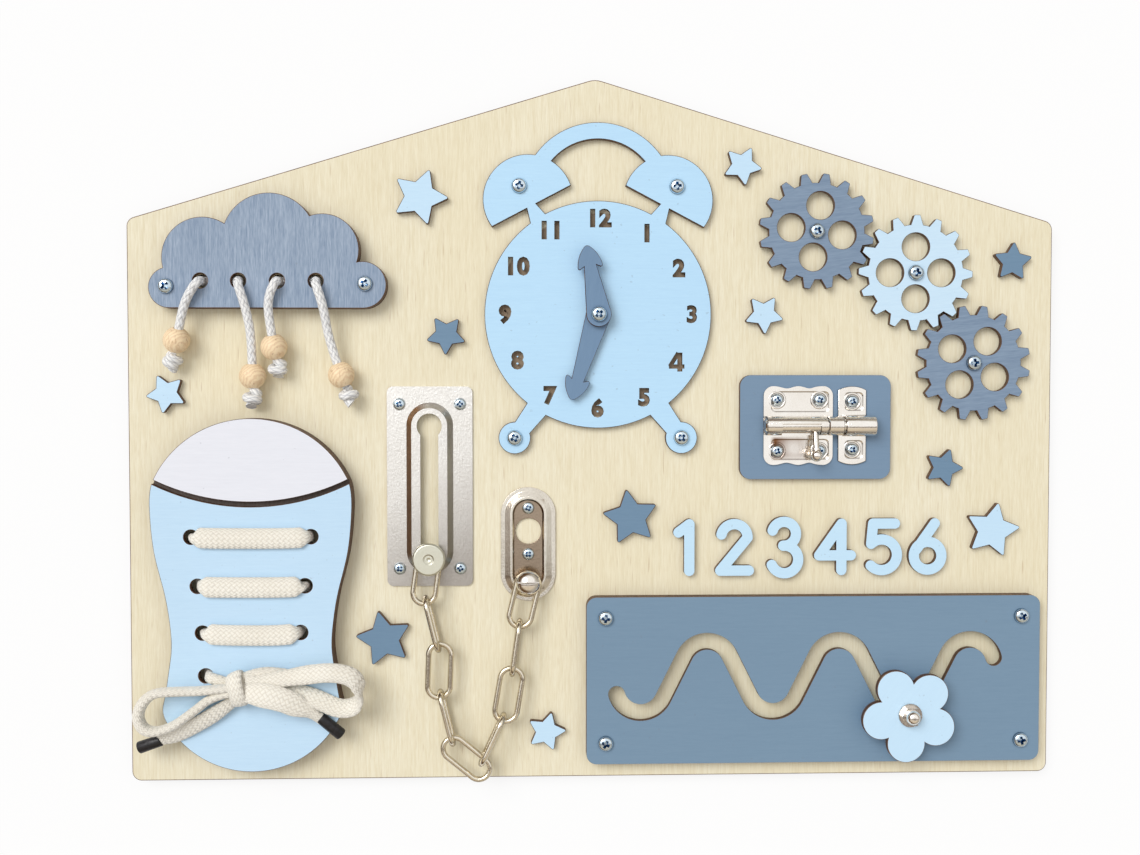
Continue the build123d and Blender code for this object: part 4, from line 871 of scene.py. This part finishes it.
# The brown round the lower screws is a painted reflection, left out at a pale spot.
across = times(tree, spread(tree, spot["X"], 0.0945, 0.097), spread(tree, spot["X"], 0.116, 0.110))
along = times(tree, spread(tree, spot["Y"], -0.0165, -0.013), spread(tree, spot["Y"], -0.0028, -0.0045))
pale_spot = put(tree, "VectorMath", {0: place_in(tree), 1: (0.108, -0.0095, 0.014)}, operation="DISTANCE")
burn_and_painted_reflection = times(tree, times(tree, across, along),
                spread(tree, pale_spot.outputs["Value"], 0.002, 0.011, 0.2, 1.0))
darken(sheet_nickel, burn_and_painted_reflection, (128, 88, 60))
soft_edged("latch_base", "bolt_plate", sheet_nickel, "board", 0.35,
           shape=pressed_down("latch_base", [(110.8, 15.8, 33.0, 12.8), (110.8, -10.0, 33.0, 12.8)]))
soft_edged("latch_keeper", "bolt_keeper", sheet_nickel, "board", 0.35,
           shape=pressed_down("latch_keeper", [(140.2, 15.9, 11.6, 11.6), (140.2, -10.1, 11.6, 11.6)]))
outlined(bright_nickel, (112, 96, 80), 0.6)
carry("latch_rod", bright_nickel)
carry("latch_peg", bright_nickel)


def profile(shape, points, closed=False):
    """An outline standing on the X axis."""
    spots = [shape.verts.new((x * MM, 0, z * MM)) for x, z in points]
    return spots + [shape.edges.new(pair) for pair in zip(spots, spots[1:] + spots[:closed])]


def lathe(shape, outline, axis, steps):
    """Spins an outline once round an axis and welds its seam."""
    bmesh.ops.spin(shape, geom=outline, cent=(0, 0, 0), axis=axis, dvec=(0, 0, 0), angle=2 * math.pi,
                   steps=steps, use_merge=True)
    bmesh.ops.remove_doubles(shape, verts=shape.verts, dist=1e-7)


rod_middle = [(low + high) / 2 / MM for low, high in zip(*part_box("latch_rod"))]
collar = bmesh.new()
hoop = profile(collar, [(124.9, 4.35), (124.9, 4.8), (125.3, 5.2), (132.7, 5.2), (133.1, 4.8), (133.1, 4.35)],
               closed=True)
lathe(collar, hoop, (1, 0, 0), 48)
shift(collar, (0, *rod_middle[1:]))
make_piece(collar, "bolt_collar", sheet_nickel, "board")


def set_out(mesh, seats):
    """Copies a mesh to every seat: its place and its turn."""
    shape = bmesh.new()
    for place, turn in seats:
        part = mesh.copy()
        part.transform(Matrix.Translation(in_metres(place)) @ Matrix.Rotation(turn, 4, "Z"))
        shape.from_mesh(part)
        bpy.data.meshes.remove(part)
    return shape


ring = bmesh.new()
circle = bmesh.ops.create_circle(ring, segments=10, radius=0.7 * MM)["verts"]
turn_by(ring, 90, "X", circle)
shift(ring, (4.3, 0, 0), circle)
lathe(ring, circle + ring.edges[:], (0, 0, 1), 40)
bmesh.ops.scale(ring, vec=(1, 1, 0.5), verts=ring.verts)
dimples = set_out(as_mesh(ring, "pressed_ring"), [((x, y, 13.9), 0) for x, y in LATCH_SCREWS + KEEPER_SCREWS])
make_piece(dimples, "latch_dimples", sheet_nickel, "board", smooth=60)

# ---- Door chain -----------------------------------------
# A satin steel slide plate with a raised, slotted rail, a turned knob that runs in it, nine
# welded links, and a plated oval dish with the stud that holds the last link.
LEFT_SLOPE, RIGHT_SLOPE = (-0.9, 0.42, 0.1), (1, 0, 0)
PLATE_MIDDLE, KNOB_AT_REST = (-89.2, -29.8), -68.0
# The slide plate is painted darker towards its lower right corner, its left slopes brown and its right slopes
# grey, all as painted reflections of the room.
satin_steel = plated("satin_steel", (246, 244, 240), (200, 197, 192), 0.34, 0.45, 0.3, 0.00012)
tree = satin_steel.node_tree
spot = axes_in(tree)
downhill = sums(tree, "SUBTRACT", spot["Y"], times(tree, spot["X"], 0.6))
darken(satin_steel, spread(tree, downhill, 0.03, -0.035, 0.0, 0.7), (158, 150, 142))
darken(satin_steel, facing(satin_steel, LEFT_SLOPE, 0.45, 0.75), (146, 110, 76))
darken(satin_steel, facing(satin_steel, RIGHT_SLOPE, 0.5, 0.8, 0.85), (150, 147, 134))
soft_edged("slide_plate", "slide_rail_plate", satin_steel, "board", 0.45, 24)
knob_satin = plated("knob_satin", (232, 232, 218), (204, 202, 184), 0.36, 0.3)
punch = new_cone(0.5, 2.6, 1.8, 20)
shift(punch, (PLATE_MIDDLE[0], KNOB_AT_REST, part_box("chain_knob")[1][2] / MM))
soft_edged("chain_knob", "punched_knob", knob_satin, "chain_knob", 0.25, 40,
           cut_away(cad_copy("chain_knob"), punch))
chain_nickel = plated("chain_nickel", (240, 232, 214), (200, 186, 160), 0.15, 0.15)
outlined(chain_nickel, (96, 78, 58), 0.85)
for number in range(1, 10):
    carry(f"chain_link_{number}", chain_nickel)


def corners_of(grown):
    """The corners among what an extrusion made."""
    return [item for item in grown["geom"] if isinstance(item, bmesh.types.BMVert)]


# The dish is a stepped pressing: a flat brim, a slanted wall, a narrow crest and a deep recess.
DISH_MIDDLE = (-36.2, -61.2)
DISH_RADIUS, DISH_REACH, BRIM = 14.8, 16.1, 1.2
DISH_SCREWS = (-41.6, -66.6)
dish = bmesh.new()
bmesh.ops.create_circle(dish, cap_ends=True, segments=72, radius=DISH_RADIUS * MM)
turn_by(dish, 2.5)
for corner in dish.verts:
    corner.co.y += math.copysign(DISH_REACH * MM, corner.co.y)
shift(dish, (*DISH_MIDDLE, FACE))
raised = corners_of(bmesh.ops.extrude_face_region(dish, geom=dish.faces[:], use_keep_orig=True))
shift(dish, (0, 0, BRIM), raised)
bmesh.ops.recalc_face_normals(dish, faces=dish.faces)
top = [max(dish.faces, key=lambda face: face.calc_center_median().z)]
for step, rise in ((2.1, 0.0), (3.0, 1.9), (1.2, 0.0), (0.9, -1.7)):
    bmesh.ops.inset_region(dish, faces=top, thickness=step * MM, depth=rise * MM, use_even_offset=True)
for y, radius in ((-54.1, 7.0), *[(y, 1.4) for y in DISH_SCREWS]):
    drill = new_cone(radius, radius, 12, 40)
    shift(drill, (DISH_MIDDLE[0], y, 11))
    dish = cut_away(dish, drill)
dish_nickel = plated("dish_nickel", (240, 234, 222), (196, 184, 168), 0.18, 0.2)
tree = dish_nickel.node_tree
spot = axes_in(tree)
# The recess floor is painted darker as painted shade, and the left and right slopes brown and grey as painted
# reflections.
inside = times(tree, spread(tree, away_from(tree, spot["X"], DISH_MIDDLE[0] * MM), 0.0090, 0.0082),
               spread(tree, away_from(tree, spot["Y"], DISH_MIDDLE[1] * MM), 0.0247, 0.0240))
recess_floor_shade = times(tree, inside, spread(tree, spot["Z"], 0.0118, 0.0108, 0.0, 0.85))
darken(dish_nickel, recess_floor_shade, (150, 128, 106))
darken(dish_nickel, facing(dish_nickel, LEFT_SLOPE, 0.4, 0.7, 0.8), (132, 108, 80))
darken(dish_nickel, facing(dish_nickel, RIGHT_SLOPE, 0.4, 0.7, 0.5), (160, 150, 132))
soft_edged("stud_plate", "stud_dish", dish_nickel, "board", 0.35, 22, dish)
soft_edged("chain_stud", "slotted_stud", bright_nickel, "board", 0.15, 50,
           cut_away(cad_copy("chain_stud"), block((20, 0.8, 4.4), (DISH_MIDDLE[0], -80.4, 24.0))))

# ---- Wave panel and flower ------------------------------
# A grey-blue panel with a wave-shaped slot on a spacer, and a light blue flower that rides
# along it on a sleeve, held by a plated acorn nut.
cut_ply("wave_panel", painted_ply("wave_grey", (120, 148, 172), (104, 132, 158), 0.20, 90))
carry("wave_spacer", inner_birch)
cut_ply("flower", painted_ply("flower_blue", (203, 233, 254), (186, 218, 244), 0.2, 40), "flower")
for node in ("flower_bolt", "flower_sleeve", "flower_nut"):
    carry(node, bright_nickel)

# ---- Stars and numerals ---------------------------------
# Small plywood shapes glued flat on the board: eleven stars and a row of six numerals.
cut_ply("blue_stars", painted_ply("star_blue", (201, 231, 252), (184, 216, 242), 0.25, 90))
cut_ply("grey_stars", painted_ply("star_grey", (111, 142, 169), (94, 124, 152), 0.25, 90))
cut_ply("numerals", painted_ply("numeral_blue", (200, 232, 252), (186, 218, 244), 0.25, 90))

# ---- Screws and washers ---------------------------------
# Bluish zinc-plated cross-head screws with domed heads; the gears and the hands turn on
# smooth-shanked ones with thin washers under them.
zinc = plated("zinc_screws", (226, 238, 246), (160, 186, 204), 0.2, 0.3)
# The steep sides of the heads and washers are painted dark, as painted shade round their rims.
darken(zinc, facing(zinc, (0, 0, 1), 0.45, 0.2, 0.8), (64, 84, 100))
# The recess walls take a darker blue: the zinc's own blue, deepened as painted shade inside the cross.
recess_shade_blue = plated("recess_shade_blue", (110, 158, 194), (58, 100, 136), 0.25, 0.3)
carry("pivot_washers", zinc)


def cross_head(radius, height):
    """One domed head with its cross-shaped recess, whose walls take the second finish."""
    head = bmesh.new()
    dome = profile(head, [(share * radius, part * height) for share, part in (
        (0.0, 1.0), (0.36, 0.99), (0.64, 0.92), (0.82, 0.78), (0.94, 0.52), (1.0, 0.20), (1.0, 0.0))])
    lathe(head, dome, (0, 0, 1), 32)
    bmesh.ops.holes_fill(head, edges=head.edges, sides=0)
    recess = bmesh.new()
    bmesh.ops.create_grid(recess, x_segments=3, y_segments=3, size=radius * 0.58 * MM)
    corners = [f for f in recess.faces
               if min(abs(f.calc_center_median().x), abs(f.calc_center_median().y)) > 1e-5]
    bmesh.ops.delete(recess, geom=corners, context="FACES")
    deep = corners_of(bmesh.ops.extrude_face_region(recess, geom=recess.faces[:]))
    bmesh.ops.scale(recess, vec=(0.36, 0.36, 1), verts=deep)
    shift(recess, (0, 0, -height * 0.95), deep)
    shift(recess, (0, 0, height * 1.08))
    cut = cut_away(head, recess)
    cut.normal_update()
    for face in cut.faces:
        if face.calc_center_median().xy.length < radius * 0.66 * MM and face.normal.z < 0.85:
            face.material_index = 1
    return as_mesh(cut, "cross_head")


def drive_in(name, head, places, replaced):
    """Copies a head to every place, at the height where it sits, turned as the driver left it."""
    shape = set_out(head, [(place, 0.7 + 1.9 * index) for index, place in enumerate(places)])
    piece = make_piece(shape, name, zinc, "board", [replaced], 30)
    piece.data.materials.append(recess_shade_blue)


big_head, small_head = cross_head(4.2, 2.6), cross_head(3.3, 1.9)
PANEL_MIDDLE = (118.8, -134.8)
CLOUD_TOP, DIAL_TOP, PANEL_TOP, METAL_TOP, HANDS_TOP, GEARS_TOP = 18.6, 13.0, 16.6, 10.2, 20.9, 14.8
GEAR_CENTRES = [(119.3, 107.6), (173.24, 85.48), (205.33, 36.81)]
drive_in("crosshead_panel_screws", big_head,
         [(-227.0, 77.0, CLOUD_TOP), (-122.6, 78.5, CLOUD_TOP)]
         + [(DIAL_MIDDLE[0] + s * dx, DIAL_MIDDLE[1] + dy, DIAL_TOP)
            for dx, dy in ((42.4, 68.8), (45.0, -66.2)) for s in SIDES]
         + [(PANEL_MIDDLE[0] + sx * 113.4, PANEL_MIDDLE[1] + sy * 34.0, PANEL_TOP)
            for sx in SIDES for sy in SIDES], "panel_screws")
drive_in("crosshead_fitting_screws", small_head,
         [(PLATE_MIDDLE[0] + sx * 16.3, PLATE_MIDDLE[1] + sy * 44.4, METAL_TOP)
          for sx in SIDES for sy in SIDES]
         + [(DISH_MIDDLE[0], y, METAL_TOP) for y in DISH_SCREWS]
         + [(x, y, LATCH_PLATE_TOP) for x, y in LATCH_SCREWS + KEEPER_SCREWS], "fitting_screws")
drive_in("crosshead_pivot_screws", big_head,
         [(*DIAL_MIDDLE, HANDS_TOP)] + [(x, y, GEARS_TOP) for x, y in GEAR_CENTRES], "pivot_screws")

# ---- Size of the finished model -------------------------
low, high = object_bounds()
